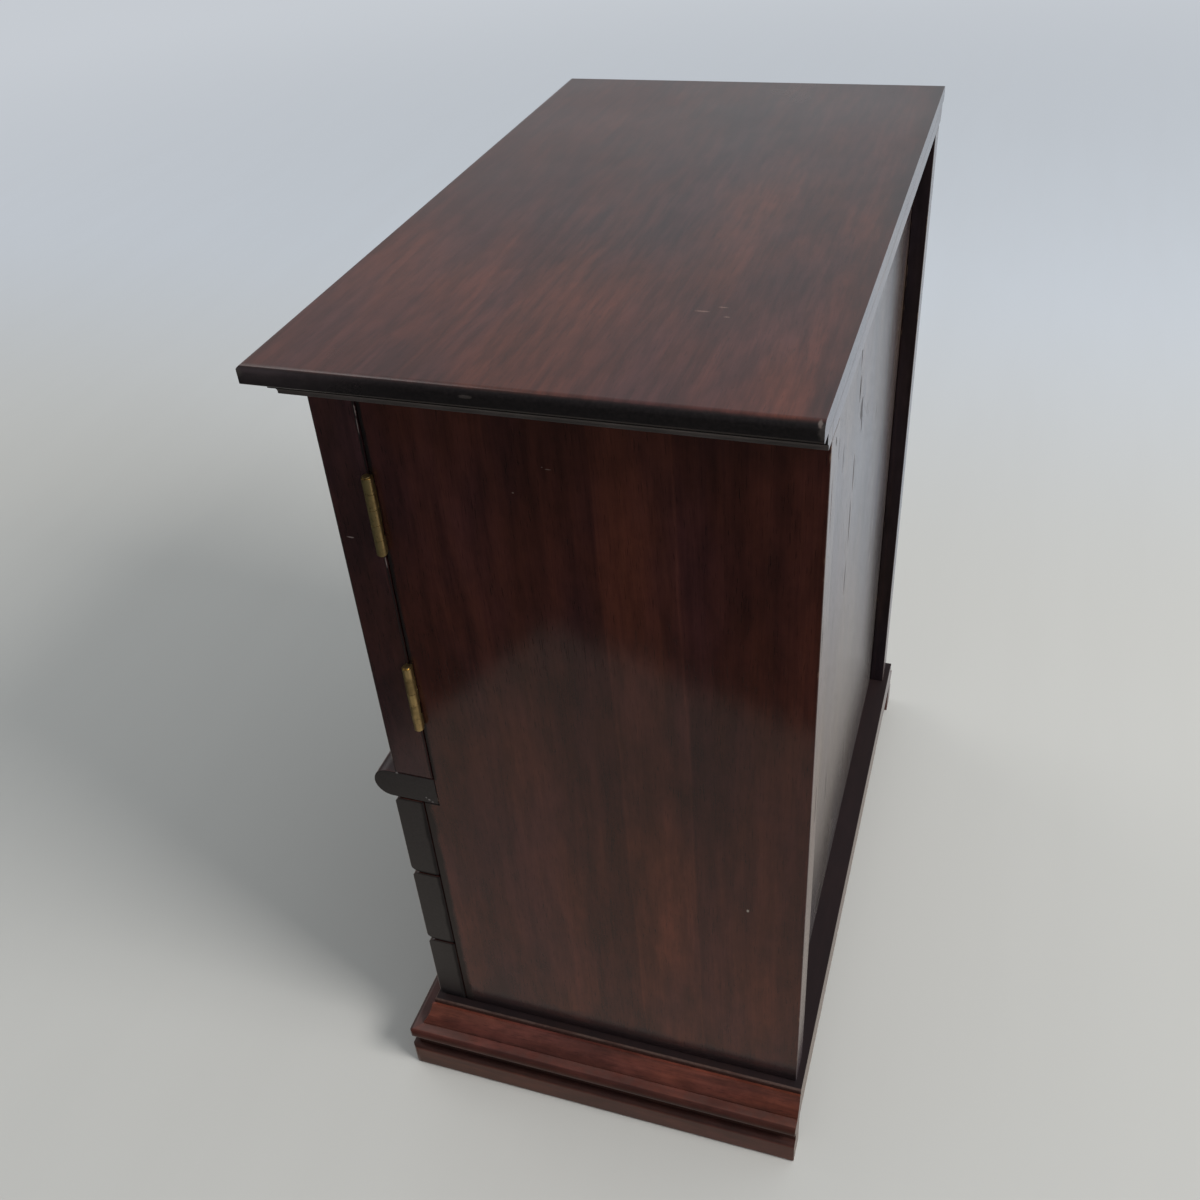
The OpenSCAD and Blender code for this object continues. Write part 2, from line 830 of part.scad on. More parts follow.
// Room for the bottom in the front and the sides
module bottom_space(i) {
  x = box_in_x + bottom_groove;
  low = box_low(i) + bottom_up;
  block([-x, front_back_y - bottom_groove, low - bottom_clear],
    [x, box_back_y + cut, low + bottom_t + bottom_clear]);
}

module drawer_back(i) {
  color(inner_wood) difference() {
    block([-box_out_x, box_back_in_y, back_low(i)], [box_out_x, box_back_y, box_high(i)]);
    for (s = [0, 1]) mirror([s, 0, 0]) {
      tails(i);
      runner_groove(i);
    }
  }
}

module drawer_bottom(i) {
  x = box_in_x + bottom_groove - panel_clear;
  low = box_low(i) + bottom_up;
  color(inner_wood)
    block([-x, front_back_y - bottom_groove + panel_clear, low], [x, box_back_y, low + bottom_t]);
}

module drawer_lining(i) {
  x = box_in_x - felt_edge_gap;
  color(felt_red) block([-x, front_back_y + felt_edge_gap, bottom_top(i)],
    [x, box_back_in_y - felt_edge_gap, bottom_top(i) + felt_t]);
}

module drawer_knobs(i) {
  color(brass) for (s = [-1, 1])
    knob_at(s * knob_spread / 2, front_face_y, (front_low(i) + front_high(i)) / 2) knob();
}

top_board();
sub_top();
top_moulding_front();
mirror([1, 0, 0]) top_moulding_side();  // top_moulding_left
top_moulding_side();  // top_moulding_right
mirror([1, 0, 0]) side_board();  // left_side
side_board();  // right_side
back_panel();
waist_board();
cupboard_shelf();
mirror([1, 0, 0]) runner_set_right();  // left_runners
runner_set_right();  // right_runners
base_board();
base_moulding_front();
mirror([1, 0, 0]) base_moulding_side();  // base_moulding_left
base_moulding_side();  // base_moulding_right
mirror([1, 0, 0]) frame_leaves();  // left_frame_leaves
frame_leaves();  // right_frame_leaves
hinge_pins();
frame_leaf_screws();
magnetic_catch();

for (s = ["left", "right"]) mirror([s == "left" ? 1 : 0, 0, 0]) {
  hinge_stile();
  meeting_stile();
  top_rail();
  bottom_rail();
  door_panel();
  door_knob();
  door_leaves();
  door_leaf_screws();
  strike();
}

for (i = [0:2]) {
  drawer_front(i);
  mirror([1, 0, 0]) drawer_side(i);
  drawer_side(i);
  drawer_back(i);
  drawer_bottom(i);
  drawer_lining(i);
  drawer_knobs(i);
}
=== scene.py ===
import math
import random

import bpy
from mathutils import Matrix, Vector


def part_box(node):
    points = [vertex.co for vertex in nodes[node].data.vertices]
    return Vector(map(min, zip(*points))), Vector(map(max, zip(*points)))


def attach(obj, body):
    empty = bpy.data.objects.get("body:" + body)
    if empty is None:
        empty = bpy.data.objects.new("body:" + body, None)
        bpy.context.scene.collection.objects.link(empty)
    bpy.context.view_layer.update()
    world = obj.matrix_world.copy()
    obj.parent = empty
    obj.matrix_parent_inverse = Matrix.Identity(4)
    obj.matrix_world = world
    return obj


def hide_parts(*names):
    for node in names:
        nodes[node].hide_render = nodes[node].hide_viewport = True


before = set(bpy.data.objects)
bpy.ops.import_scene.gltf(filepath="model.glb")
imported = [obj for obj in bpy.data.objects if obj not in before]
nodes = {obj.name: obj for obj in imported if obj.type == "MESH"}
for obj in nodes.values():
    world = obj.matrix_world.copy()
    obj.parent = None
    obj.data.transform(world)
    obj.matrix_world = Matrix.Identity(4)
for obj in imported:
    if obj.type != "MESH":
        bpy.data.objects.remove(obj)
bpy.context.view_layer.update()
mm = 0.001
print("frame loaded,", len(nodes), "nodes")


# Small helpers for objects and selections

meshValues = {
    "mergeWithin": 0.002,  # millimetres, for the loose triangles of a construction node
    "levelWithin": 0.3,  # degrees, up to which neighbouring triangles become one face
    "arrisMerge": 0.005,  # millimetres, for the corners where rounded arrises meet
    "arrisSegments": 2,
    "sharpFrom": 35.0,
    "smoothUpTo": 38.0,
}


def workOn(obj):
    bpy.ops.object.select_all(action="DESELECT")
    obj.select_set(True)
    bpy.context.view_layer.objects.active = obj


def editAll(obj):
    workOn(obj)
    bpy.ops.object.mode_set(mode="EDIT")
    bpy.ops.mesh.select_all(action="SELECT")


def backToObject():
    bpy.ops.object.mode_set(mode="OBJECT")


def clearPicks(mesh):
    for parts in (mesh.polygons, mesh.edges, mesh.vertices):
        for part in parts:
            part.select = False


def pickEdges(obj, test):
    # leaves only the edges that pass the test selected, ready for an edit-mode operator
    bpy.context.tool_settings.mesh_select_mode = (False, True, False)
    clearPicks(obj.data)
    for edge in obj.data.edges:
        edge.select = bool(test(edge))


def pickFaces(obj, test):
    bpy.context.tool_settings.mesh_select_mode = (False, False, True)
    clearPicks(obj.data)
    for poly in obj.data.polygons:
        poly.select = bool(test(poly))


def ownCopy(source, name):
    # a copy with a mesh of its own
    obj = source.copy()
    obj.data = source.data.copy()
    obj.name = name
    obj.data.name = name
    bpy.context.scene.collection.objects.link(obj)
    return obj


def copyTo(pattern, name, place):
    # for what repeats: it is modelled once, and every copy is moved to its place
    obj = ownCopy(pattern, name)
    obj.location = place
    workOn(obj)
    bpy.ops.object.transform_apply(location=True, rotation=True, scale=True)
    return obj


def copyOfNode(node, name):
    # merged copy of a construction node, free to be worked on
    obj = ownCopy(nodes[node], name)
    for key in list(obj.keys()):
        del obj[key]
    obj.parent = None
    obj.data.materials.clear()
    editAll(obj)
    bpy.ops.mesh.remove_doubles(threshold=meshValues["mergeWithin"] * mm)
    bpy.ops.mesh.dissolve_limited(angle_limit=math.radians(meshValues["levelWithin"]))
    backToObject()
    bpy.ops.mesh.customdata_custom_splitnormals_clear()
    return obj


def roundArrises(obj, width, shortest=1.0):
    # a small round on every sharp edge that is longer than the shortest, marked in the attribute arris
    editAll(obj)
    bpy.context.tool_settings.mesh_select_mode = (False, True, False)
    bpy.ops.mesh.select_all(action="DESELECT")
    bpy.ops.mesh.edges_select_sharp(sharpness=math.radians(meshValues["sharpFrom"]))
    backToObject()
    mesh = obj.data
    sharp = [edge.select for edge in mesh.edges]

    def longEnough(edge):
        a, b = (mesh.vertices[i].co for i in edge.vertices)
        return sharp[edge.index] and (a - b).length > shortest * mm

    pickEdges(obj, longEnough)
    bpy.ops.object.mode_set(mode="EDIT")
    bpy.ops.mesh.bevel(offset=width * mm, segments=meshValues["arrisSegments"], profile=0.5,
                       affect="EDGES", clamp_overlap=True)
    backToObject()
    arris = mesh.attributes.new("arris", "FLOAT", "FACE")
    for poly in mesh.polygons:
        corners = [mesh.vertices[i].co for i in poly.vertices]
        longest = max((a - b).length for a, b in zip(corners, corners[1:] + corners[:1]))
        narrow = poly.area / max(longest, 1e-9) < width * mm
        arris.data[poly.index].value = 1.0 if poly.select and narrow else 0.0
    editAll(obj)
    bpy.ops.mesh.remove_doubles(threshold=meshValues["arrisMerge"] * mm)
    backToObject()


def smoothFaces(obj, angle=meshValues["smoothUpTo"]):
    workOn(obj)
    bpy.ops.object.shade_smooth_by_angle(angle=math.radians(angle))
    bpy.ops.object.modifier_add(type="WEIGHTED_NORMAL")
    obj.modifiers[-1].keep_sharp = True
    bpy.ops.object.modifier_apply(modifier=obj.modifiers[-1].name)


def giveFaces(obj, material, test):
    # the faces that pass the test get a material of their own
    obj.data.materials.append(material)
    pickFaces(obj, test)
    workOn(obj)
    obj.active_material_index = len(obj.data.materials) - 1
    bpy.ops.object.mode_set(mode="EDIT")
    bpy.ops.object.material_slot_assign()
    backToObject()


def settle(obj, body, replaced, material):
    # the piece rides on its body and stands for its construction nodes
    if not obj.data.materials:
        obj.data.materials.append(material)
    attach(obj, body)
    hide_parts(*replaced)
    return obj


def dressPiece(node, name, body, material, width=0.4, shortest=1.0):
    # a softened copy of a construction node, in its own finish
    obj = copyOfNode(node, name)
    roundArrises(obj, width, shortest)
    smoothFaces(obj)
    return settle(obj, body, [node], material)


# Small helpers for materials

def startMaterial(name):
    material = bpy.data.materials.new(name)
    material.use_nodes = True
    tree = material.node_tree
    tree.nodes.clear()
    output = tree.nodes.new("ShaderNodeOutputMaterial")
    shader = tree.nodes.new("ShaderNodeBsdfPrincipled")
    tree.links.new(shader.outputs["BSDF"], output.inputs["Surface"])
    return material, tree, shader


def feed(tree, socket, value):
    if isinstance(value, bpy.types.NodeSocket):
        tree.links.new(value, socket)
    elif value is not None:
        socket.default_value = value


def calc(tree, operation, a, b=None, c=None):
    node = tree.nodes.new("ShaderNodeMath")
    node.operation = operation
    for socket, value in zip(node.inputs, (a, b, c)):
        feed(tree, socket, value)
    return node.outputs[0]


def vectorCalc(tree, operation, a, b=None):
    node = tree.nodes.new("ShaderNodeVectorMath")
    node.operation = operation
    feed(tree, node.inputs[0], a)
    feed(tree, node.inputs[1], b)
    return node.outputs["Value"] if operation in ("LENGTH", "DOT_PRODUCT") else node.outputs["Vector"]


def noise(tree, vector, scale=1.0, detail=2.0, rough=0.5, output="Fac"):
    node = tree.nodes.new("ShaderNodeTexNoise")
    feed(tree, node.inputs["Vector"], vector)
    node.inputs["Scale"].default_value = scale
    node.inputs["Detail"].default_value = detail
    node.inputs["Roughness"].default_value = rough
    return node.outputs[output]


def spread(tree, value, low, high, outLow=0.0, outHigh=1.0):
    node = tree.nodes.new("ShaderNodeMapRange")
    node.interpolation_type = "SMOOTHSTEP"
    feed(tree, node.inputs["Value"], value)
    for key, number in zip(("From Min", "From Max", "To Min", "To Max"), (low, high, outLow, outHigh)):
        node.inputs[key].default_value = number
    return node.outputs["Result"]


def spreadOver(tree, value, ends, outLow=0.0, outHigh=1.0):
    # the same over a range in millimetres
    low, high = ends
    return spread(tree, value, low * mm, high * mm, outLow, outHigh)


def spreadLinear(tree, value, low, high):
    node = tree.nodes.new("ShaderNodeMapRange")
    feed(tree, node.inputs["Value"], value)
    node.inputs["From Min"].default_value = low
    node.inputs["From Max"].default_value = high
    return node.outputs["Result"]


def mixShaders(tree, factor, a, b):
    node = tree.nodes.new("ShaderNodeMixShader")
    for socket, value in zip(node.inputs, (factor, a, b)):
        feed(tree, socket, value)
    return node.outputs[0]


def mixColours(tree, factor, a, b):
    # a Mix node keeps its colours in sockets 6 and 7, and the mixed one in output 2
    node = tree.nodes.new("ShaderNodeMix")
    node.data_type = "RGBA"
    feed(tree, node.inputs[0], factor)
    feed(tree, node.inputs[6], a if isinstance(a, bpy.types.NodeSocket) else (*a, 1.0))
    feed(tree, node.inputs[7], b if isinstance(b, bpy.types.NodeSocket) else (*b, 1.0))
    return node.outputs[2]


def colourRamp(tree, factor, stops):
    node = tree.nodes.new("ShaderNodeValToRGB")
    feed(tree, node.inputs["Fac"], factor)
    elements = node.color_ramp.elements
    while len(elements) < len(stops):
        elements.new(0.5)
    for element, (place, colour) in zip(elements, stops):
        element.position = place
        element.color = (*colour, 1.0)
    return node.outputs["Color"]


def stretch(tree, vector, factors):
    return vectorCalc(tree, "MULTIPLY", vector, factors)


def figure(tree, vector, values, outLow=0.0, outHigh=1.0):
    # a pattern of noise: its scale or three scales, its detail and roughness, and where it starts and ends
    scales, detail, rough, low, high = values
    if isinstance(scales, tuple):
        raw = noise(tree, stretch(tree, vector, scales), 1.0, detail, rough)
    else:
        raw = noise(tree, vector, scales, detail, rough)
    return spread(tree, raw, low, high, outLow, outHigh)


def upward(tree, coords):
    return vectorCalc(tree, "DOT_PRODUCT", coords["Normal"], (0.0, 0.0, 1.0))


def bump(tree, height, distance, normal=None):
    node = tree.nodes.new("ShaderNodeBump")
    feed(tree, node.inputs["Height"], height)
    node.inputs["Distance"].default_value = distance
    feed(tree, node.inputs["Normal"], normal)
    return node.outputs["Normal"]


# Camera, solved from the straight edges of the cabinet

cameraView = {
    "place": (466.4 * mm, 138.7 * mm, 564.3 * mm),
    "azimuth": 110.872,
    "elevation": 37.351,
    "roll": -4.708,
    "focalPixels": 1234.2,
    "framePixels": 1200.0,
    "sensor": 36.0,
}


def addCamera(v):
    az, el, roll = (math.radians(v[k]) for k in ("azimuth", "elevation", "roll"))
    back = Vector((math.sin(az) * math.cos(el), -math.cos(az) * math.cos(el), math.sin(el)))
    level = (-back).cross(Vector((0, 0, 1))).normalized()
    upright = level.cross(-back)
    right = level * math.cos(roll) + upright * math.sin(roll)
    up = upright * math.cos(roll) - level * math.sin(roll)
    data = bpy.data.cameras.new("camera")
    data.sensor_width = v["sensor"]
    data.lens = v["focalPixels"] * v["sensor"] / v["framePixels"]
    data.clip_start, data.clip_end = 0.01, 50.0
    camera = bpy.data.objects.new("camera", data)
    bpy.context.scene.collection.objects.link(camera)
    turn = Matrix((right, up, back)).transposed().to_4x4()
    camera.matrix_world = Matrix.Translation(v["place"]) @ turn
    bpy.context.scene.camera = camera


addCamera(cameraView)
print("camera placed")


# Floor, world and lamps

stageValues = {
    "floorSize": 60.0,
    "fadeFrom": 0.7,
    "fadeTo": 2.6,
    "floorNear": (0.580, 0.574, 0.552),
    "floorFar": (0.64, 0.675, 0.73),
    "farFrom": 0.25,
    "farTo": 0.9,
    "grain": ((3.0, 22.0, 3.0), 3.0, 0.6, 0.3, 0.75),
    "grainTint": (0.45, 0.44, 0.42),
    "grainMost": 0.05,
    "roughness": 0.7,
    "specular": 0.2,
    "mirrorNear": (0.40, 0.36, 0.32),
    "mirrorFar": (0.60, 0.65, 0.71),
    "mirrorDark": (0.050, 0.055, 0.055),
    "mirrorEdges": [((0.398, -0.917, 0.0), 0.332), ((0.952, 0.305, 0.0), 0.4175)],
    "mirrorSoft": 0.012,
    "mirrorFadeTo": 0.5,
    "worldBase": 0.40,
    # light by direction: axis, sign, where it starts and is full, and how much it adds or takes away
    "worldGlows": [("Y", 1, 0.0, 0.8, 0.30), ("X", 1, 0.0, 0.8, -0.26), ("X", -1, 0.0, 0.8, 0.16),
                   ("X", -1, 0.80, 0.97, 0.13), ("Y", -1, 0.15, 0.60, -0.10), ("Z", 1, 0.0, 0.8, 0.04)],
    "worldTint": (0.90, 0.96, 1.0),
    "backColour": (0.565, 0.597, 0.640),
}


def floorMaterial(v):
    material, tree, shader = startMaterial("paleFloor")
    coords = tree.nodes.new("ShaderNodeTexCoord").outputs["Object"]
    split = tree.nodes.new("ShaderNodeSeparateXYZ")
    feed(tree, split.inputs[0], coords)
    away = calc(tree, "MULTIPLY", split.outputs["X"], -1.0)
    distant = spread(tree, away, v["farFrom"], v["farTo"])
    seen = mixColours(tree, distant, v["floorNear"], v["floorFar"])
    grain = figure(tree, coords, v["grain"], 0.0, v["grainMost"])
    feed(tree, shader.inputs["Base Color"], mixColours(tree, grain, seen, v["grainTint"]))
    shader.inputs["Roughness"].default_value = v["roughness"]
    shader.inputs["Specular IOR Level"].default_value = v["specular"]
    # painted reflection: for glossy rays the floor glows with what the polish should mirror, the pale floor
    # near by, and dark beyond two straight edges
    beyond = [calc(tree, "SUBTRACT", vectorCalc(tree, "DOT_PRODUCT", coords, normal), reach)
              for normal, reach in v["mirrorEdges"]]
    beyond = calc(tree, "MAXIMUM", *beyond)
    mirrored = mixColours(tree, spread(tree, away, 0.0, v["mirrorFadeTo"]), v["mirrorNear"], v["mirrorFar"])
    dark = spread(tree, beyond, -v["mirrorSoft"], v["mirrorSoft"])
    mirrored = mixColours(tree, dark, mirrored, v["mirrorDark"])
    glow = tree.nodes.new("ShaderNodeEmission")
    feed(tree, glow.inputs["Color"], mirrored)
    # far off it turns into the plain backdrop
    backdrop = tree.nodes.new("ShaderNodeEmission")
    backdrop.inputs["Color"].default_value = (*v["backColour"], 1.0)
    ray = tree.nodes.new("ShaderNodeLightPath")
    gone = spread(tree, vectorCalc(tree, "LENGTH", coords), v["fadeFrom"], v["fadeTo"])
    gone = calc(tree, "MULTIPLY", gone, ray.outputs["Is Camera Ray"])
    surface = mixShaders(tree, gone, shader.outputs["BSDF"], backdrop.outputs[0])
    surface = mixShaders(tree, ray.outputs["Is Glossy Ray"], surface, glow.outputs[0])
    output = next(n for n in tree.nodes if n.type == "OUTPUT_MATERIAL")
    feed(tree, output.inputs["Surface"], surface)
    return material


def addFloor(v):
    bpy.ops.object.select_all(action="DESELECT")
    bpy.ops.mesh.primitive_plane_add(size=v["floorSize"], location=(0, 0, -0.05 * mm))
    floor = bpy.context.active_object
    floor.name = "floor"
    floor.data.materials.append(floorMaterial(v))


def addWorld(v):
    world = bpy.data.worlds.new("studio")
    bpy.context.scene.world = world
    world.use_nodes = True
    tree = world.node_tree
    tree.nodes.clear()
    direction = tree.nodes.new("ShaderNodeSeparateXYZ")
    feed(tree, direction.inputs[0], tree.nodes.new("ShaderNodeTexCoord").outputs["Generated"])
    level = v["worldBase"]
    for axis, sign, start, full, amount in v["worldGlows"]:
        towards = calc(tree, "MULTIPLY", direction.outputs[axis], float(sign))
        level = calc(tree, "ADD", level, spread(tree, towards, start, full, 0.0, amount))
    ray = tree.nodes.new("ShaderNodeLightPath")
    light = tree.nodes.new("ShaderNodeBackground")
    light.inputs["Color"].default_value = (*v["worldTint"], 1.0)
    feed(tree, light.inputs["Strength"], level)
    back = tree.nodes.new("ShaderNodeBackground")
    back.inputs["Color"].default_value = (*v["backColour"], 1.0)
    output = tree.nodes.new("ShaderNodeOutputWorld")
    seen = mixShaders(tree, ray.outputs["Is Camera Ray"], light.outputs[0], back.outputs[0])
    feed(tree, output.inputs["Surface"], seen)


lampValues = [
    {"name": "backLamp", "place": (0.45, 2.0, 1.9), "aim": (0, 0, 0.2), "size": (1.0, 0.8),
     "power": 56.0, "colour": (1.0, 0.98, 0.95)},
    {"name": "frontLamp", "place": (-0.6, -2.0, 1.7), "aim": (0, 0, 0.2), "size": (1.5, 1.2),
     "power": 10.0, "colour": (1.0, 0.98, 0.96)},
]


def addLamp(v):
    data = bpy.data.lights.new(v["name"], "AREA")
    data.shape = "RECTANGLE"
    data.size, data.size_y = v["size"]
    data.energy = v["power"]
    data.color = v["colour"]
    lamp = bpy.data.objects.new(v["name"], data)
    bpy.context.scene.collection.objects.link(lamp)
    lamp.location = v["place"]
    lamp.rotation_euler = (Vector(v["aim"]) - Vector(v["place"])).to_track_quat("-Z", "Y").to_euler()
    lamp.visible_camera = False


addFloor(stageValues)
addWorld(stageValues)
for lampValue in lampValues:
    addLamp(lampValue)
scene = bpy.context.scene
scene.view_settings.view_transform = "Standard"
print("stage set")


# Woods: a solid pattern of growth rings, bands, streaks, fibres and pores along the grain

# the side's colours are darker than the top's: partly a top faded paler, and partly painted shade on a side
# that faced away from the light
sideLook = {
    "dark": (0.0200, 0.0066, 0.0062), "mid": (0.0425, 0.0124, 0.0104), "light": (0.076, 0.0225, 0.0162),
    "pore": (0.008, 0.003, 0.0025), "line": (0.11, 0.035, 0.020), "worn": (0.30, 0.20, 0.14),
    "endGrain": (0.0135, 0.0108, 0.0105), "ringCentre": (0.075, -0.020), "rings": 74.0, "taper": 0.02,
    "drift": 0.008, "streakScale": (170.0, 6.0), "broadScale": (30.0, 3.2),
    "ringWeight": 0.08, "streakWeight": 0.12, "broadWeight": 0.24, "fibreWeight": 0.30, "lineWeight": 0.2,
    "mottle": 0.11, "smoke": 0.42, "fleck": 0.24, "fleckScale": (150.0, 150.0, 22.0),
    "warm": (1.12, 1.07, 0.88), "cool": (0.90, 0.95, 1.13), "roughness": 0.090, "haze": 0.05,
    "wear": 0.25, "poreDepth": 0.010, "ripple": 0.10, "specular": 0.36,
}
topLook = dict(sideLook, dark=(0.036, 0.0112, 0.0100), mid=(0.066, 0.0198, 0.0160),
               light=(0.102, 0.0315, 0.0225), endGrain=(0.0110, 0.0082, 0.0086), ringCentre=(0.03, -0.10),
               rings=60.0, streakScale=(230.0, 15.0), broadScale=(16.0, 9.0), streakWeight=0.24,
               fibreWeight=0.34, broadWeight=0.30, smoke=0.34, fleck=0.33, fleckScale=(330.0, 330.0, 38.0),
               warm=(1.20, 1.06, 0.84), cool=(0.78, 0.90, 1.12),
               roughness=0.30, haze=0.16, specular=0.35, ripple=0.08)
trimLook = dict(sideLook, dark=(0.0075, 0.0062, 0.0060), mid=(0.0135, 0.0108, 0.0105),
                light=(0.024, 0.0175, 0.016), line=(0.03, 0.023, 0.020), worn=(0.11, 0.085, 0.07),
                rings=90.0, lineWeight=0.1, roughness=0.40, wear=0.3, specular=0.34, ripple=0.05)
doorLook = dict(sideLook, dark=(0.028, 0.0105, 0.0110), mid=(0.047, 0.0160, 0.0165),
                light=(0.069, 0.0225, 0.0205), roughness=0.22)
# the base board's colours are darker than the base moulding's: painted shade on its upright edge, which
# stands above the moulding
boardLook = dict(doorLook, dark=(0.036, 0.0150, 0.0130), mid=(0.058, 0.0235, 0.0195),
                 light=(0.082, 0.0330, 0.0265), endGrain=(0.044, 0.0195, 0.0165), worn=(0.16, 0.12, 0.10),
                 roughness=0.45, wear=0.30, specular=0.14)
baseLook = dict(sideLook, dark=(0.070, 0.0180, 0.0130), mid=(0.148, 0.0385, 0.0265),
                light=(0.215, 0.0620, 0.0410), mottle=0.22, endGrain=(0.040, 0.014, 0.011),
                ringCentre=(0.02, 0.05), rings=110.0, taper=0.03, streakScale=(260.0, 7.0),
                streakWeight=0.3, roughness=0.36, haze=0.12, wear=0.0, specular=0.26)
backLook = dict(sideLook, dark=(0.040, 0.0300, 0.0290), mid=(0.072, 0.0520, 0.0490),
                light=(0.108, 0.078, 0.072), line=(0.13, 0.10, 0.09), ringCentre=(0.10, 0.02), rings=60.0,
                roughness=0.20, haze=0.10, streakWeight=0.26, poreDepth=0.02, specular=0.71)
innerLook = dict(sideLook, dark=(0.20, 0.102, 0.058), mid=(0.30, 0.165, 0.095), light=(0.40, 0.240, 0.145),
                 pore=(0.12, 0.06, 0.035), line=(0.44, 0.28, 0.18), worn=(0.5, 0.35, 0.23), rings=130.0,
                 endGrain=(0.185, 0.100, 0.058), ringWeight=0.12, streakWeight=0.14, broadWeight=0.18,
                 smoke=0.1, fleck=0.06, warm=(1.04, 1.0, 0.96), cool=(0.97, 1.0, 1.02), roughness=0.52,
                 haze=0.08, wear=0.1, poreDepth=0.03)
endLook = dict(sideLook, endGrain=(0.0126, 0.0103, 0.0118), roughness=0.3)


# the patterns that every wood has, each as figure takes it, or as scales, detail and roughness alone
woodFigure = {
    "sway": ((9.0, 9.0, 3.0), 2.0, 0.5),
    "fibre": ((1250.0, 1250.0, 22.0), 2.0, 0.6),
    "ripple": ((60.0, 60.0, 22.0), 2.0, 0.5),
    "pores": ((2600.0, 2600.0, 150.0), 1.0, 0.5, 0.62, 0.74),
    "warmth": ((24.0, 24.0, 8.0), 3.0, 0.6, 0.34, 0.66),
    "smoke": ((20.0, 20.0, 9.0), 3.0, 0.6, 0.42, 0.72),
    "mottle": ((150.0, 150.0, 90.0), 3.0, 0.65, 0.3, 0.7),
    "cloud": (14.0, 3.0, 0.55),
    "speckle": (900.0, 2.0, 0.6, 0.3, 0.7),
    "speckleTones": (0.7, 1.25),
    "endFacing": (0.25, 0.80),
    "rubbed": (95.0, 4.0, 0.65, 0.56, 0.66),
    "smokeShift": (3.1, 1.7, 0.6),
    # those whose scales are a look's own: detail and roughness, and where they start and end
    "streak": (4.0, 0.62, 0.30, 0.70),
    "broad": (2.0, 0.5, 0.30, 0.70),
    "fleck": (3.0, 0.6, 0.35, 0.68),
    "fleckPaler": 0.4,
    "pithDepth": 0.35,
    "ringEnd": 0.8,
    "endLine": 0.07,
    "endLineMost": 0.35,
    "poreMost": 0.5,
    "lightFrom": 0.10,
    "midAt": 0.50,
    "darkFrom": 0.92,
    "arrisRoughness": 0.2,
}


def gatherEqual(tree, value):
    node = tree.nodes.new("ShaderNodeCombineXYZ")
    for socket in node.inputs:
        feed(tree, socket, value)
    return node.outputs[0]


def plainNoise(tree, vector, values, output="Fac"):
    scales, detail, rough = values
    return noise(tree, stretch(tree, vector, scales), 1.0, detail, rough, output)


def alongGrain(tree, axes, grain, shift):
    # turns the pattern so that its third axis runs with the grain
    gather = tree.nodes.new("ShaderNodeCombineXYZ")
    for socket, axis in zip(gather.inputs, {"X": "YZX", "Y": "XZY", "Z": "XYZ"}[grain]):
        feed(tree, socket, axes[axis])
    return vectorCalc(tree, "ADD", gather.outputs[0], shift)


def bandTones(tree, across, along, v):
    # broad bands with a few firm edges, as where the grain of a board turns over
    lean = calc(tree, "MULTIPLY", along, v["lean"])
    wander = calc(tree, "MULTIPLY", plainNoise(tree, along, v["sway"]), v["wander"] * mm)
    place = calc(tree, "ADD", calc(tree, "ADD", across, lean), wander)
    low, high = v["stops"][0][0], v["stops"][-1][0]
    stops = [((at - low) / (high - low), (tone, tone, tone)) for at, tone in v["stops"]]
    return colourRamp(tree, spreadLinear(tree, place, low * mm, high * mm), stops)


def growthRings(tree, grown, look):
    # rings round the pith, and the thin pale line where each ring ends
    w = woodFigure
    fromPith = vectorCalc(tree, "ADD", grown, (*look["ringCentre"], w["pithDepth"]))
    radius = vectorCalc(tree, "LENGTH", stretch(tree, fromPith, (1.0, 1.0, look["taper"])))
    phase = calc(tree, "FRACT", calc(tree, "MULTIPLY", radius, look["rings"]))
    rise = spread(tree, phase, 0.0, w["ringEnd"])
    fall = spread(tree, phase, w["ringEnd"], 1.0, 1.0, 0.0)
    return calc(tree, "MULTIPLY", rise, fall), spread(tree, phase, 0.0, w["endLine"], 1.0, 0.0)


def stainedGrain(tree, grown, fibre, pores, banded, look):
    # the stain over rings, streaks, fibres and pores
    w = woodFigure
    rings, endLine = growthRings(tree, grown, look)
    tone = calc(tree, "MULTIPLY", rings, look["ringWeight"])
    for key in ("streak", "broad"):
        fine, long = look[key + "Scale"]
        streaks = figure(tree, grown, ((fine, fine, long), *w[key]))
        tone = calc(tree, "MULTIPLY_ADD", streaks, look[key + "Weight"], tone)
    tone = calc(tree, "MULTIPLY_ADD", fibre, look["fibreWeight"], tone)
    if banded is not None:
        tone = calc(tree, "ADD", tone, calc(tree, "SUBTRACT", banded, 0.5))
    stops = [(w["lightFrom"], look["light"]), (w["midAt"], look["mid"]), (w["darkFrom"], look["dark"])]
    colour = colourRamp(tree, tone, stops)
    endLine = calc(tree, "MULTIPLY", endLine, look["lineWeight"] * w["endLineMost"])
    colour = mixColours(tree, endLine, colour, look["line"])
    return mixColours(tree, calc(tree, "MULTIPLY", pores, w["poreMost"]), colour, look["pore"])


def cloudedGrain(tree, local, grown, colour, look):
    # warm and smoky places, short dark flecks and a fine mottle
    w = woodFigure
    warmth = mixColours(tree, figure(tree, local, w["warmth"]), look["cool"], look["warm"])
    elsewhere = vectorCalc(tree, "ADD", local, w["smokeShift"])
    smoke = figure(tree, elsewhere, w["smoke"], 1.0, 1.0 - look["smoke"])
    fleck = figure(tree, grown, (look["fleckScale"], *w["fleck"]), 1.0 + look["fleck"] * w["fleckPaler"],
                   1.0 - look["fleck"])
    mottle = figure(tree, local, w["mottle"], 1.0 + look["mottle"], 1.0 - look["mottle"])
    shade = calc(tree, "MULTIPLY", calc(tree, "MULTIPLY", smoke, fleck), mottle)
    return stretch(tree, stretch(tree, colour, warmth), gatherEqual(tree, shade))


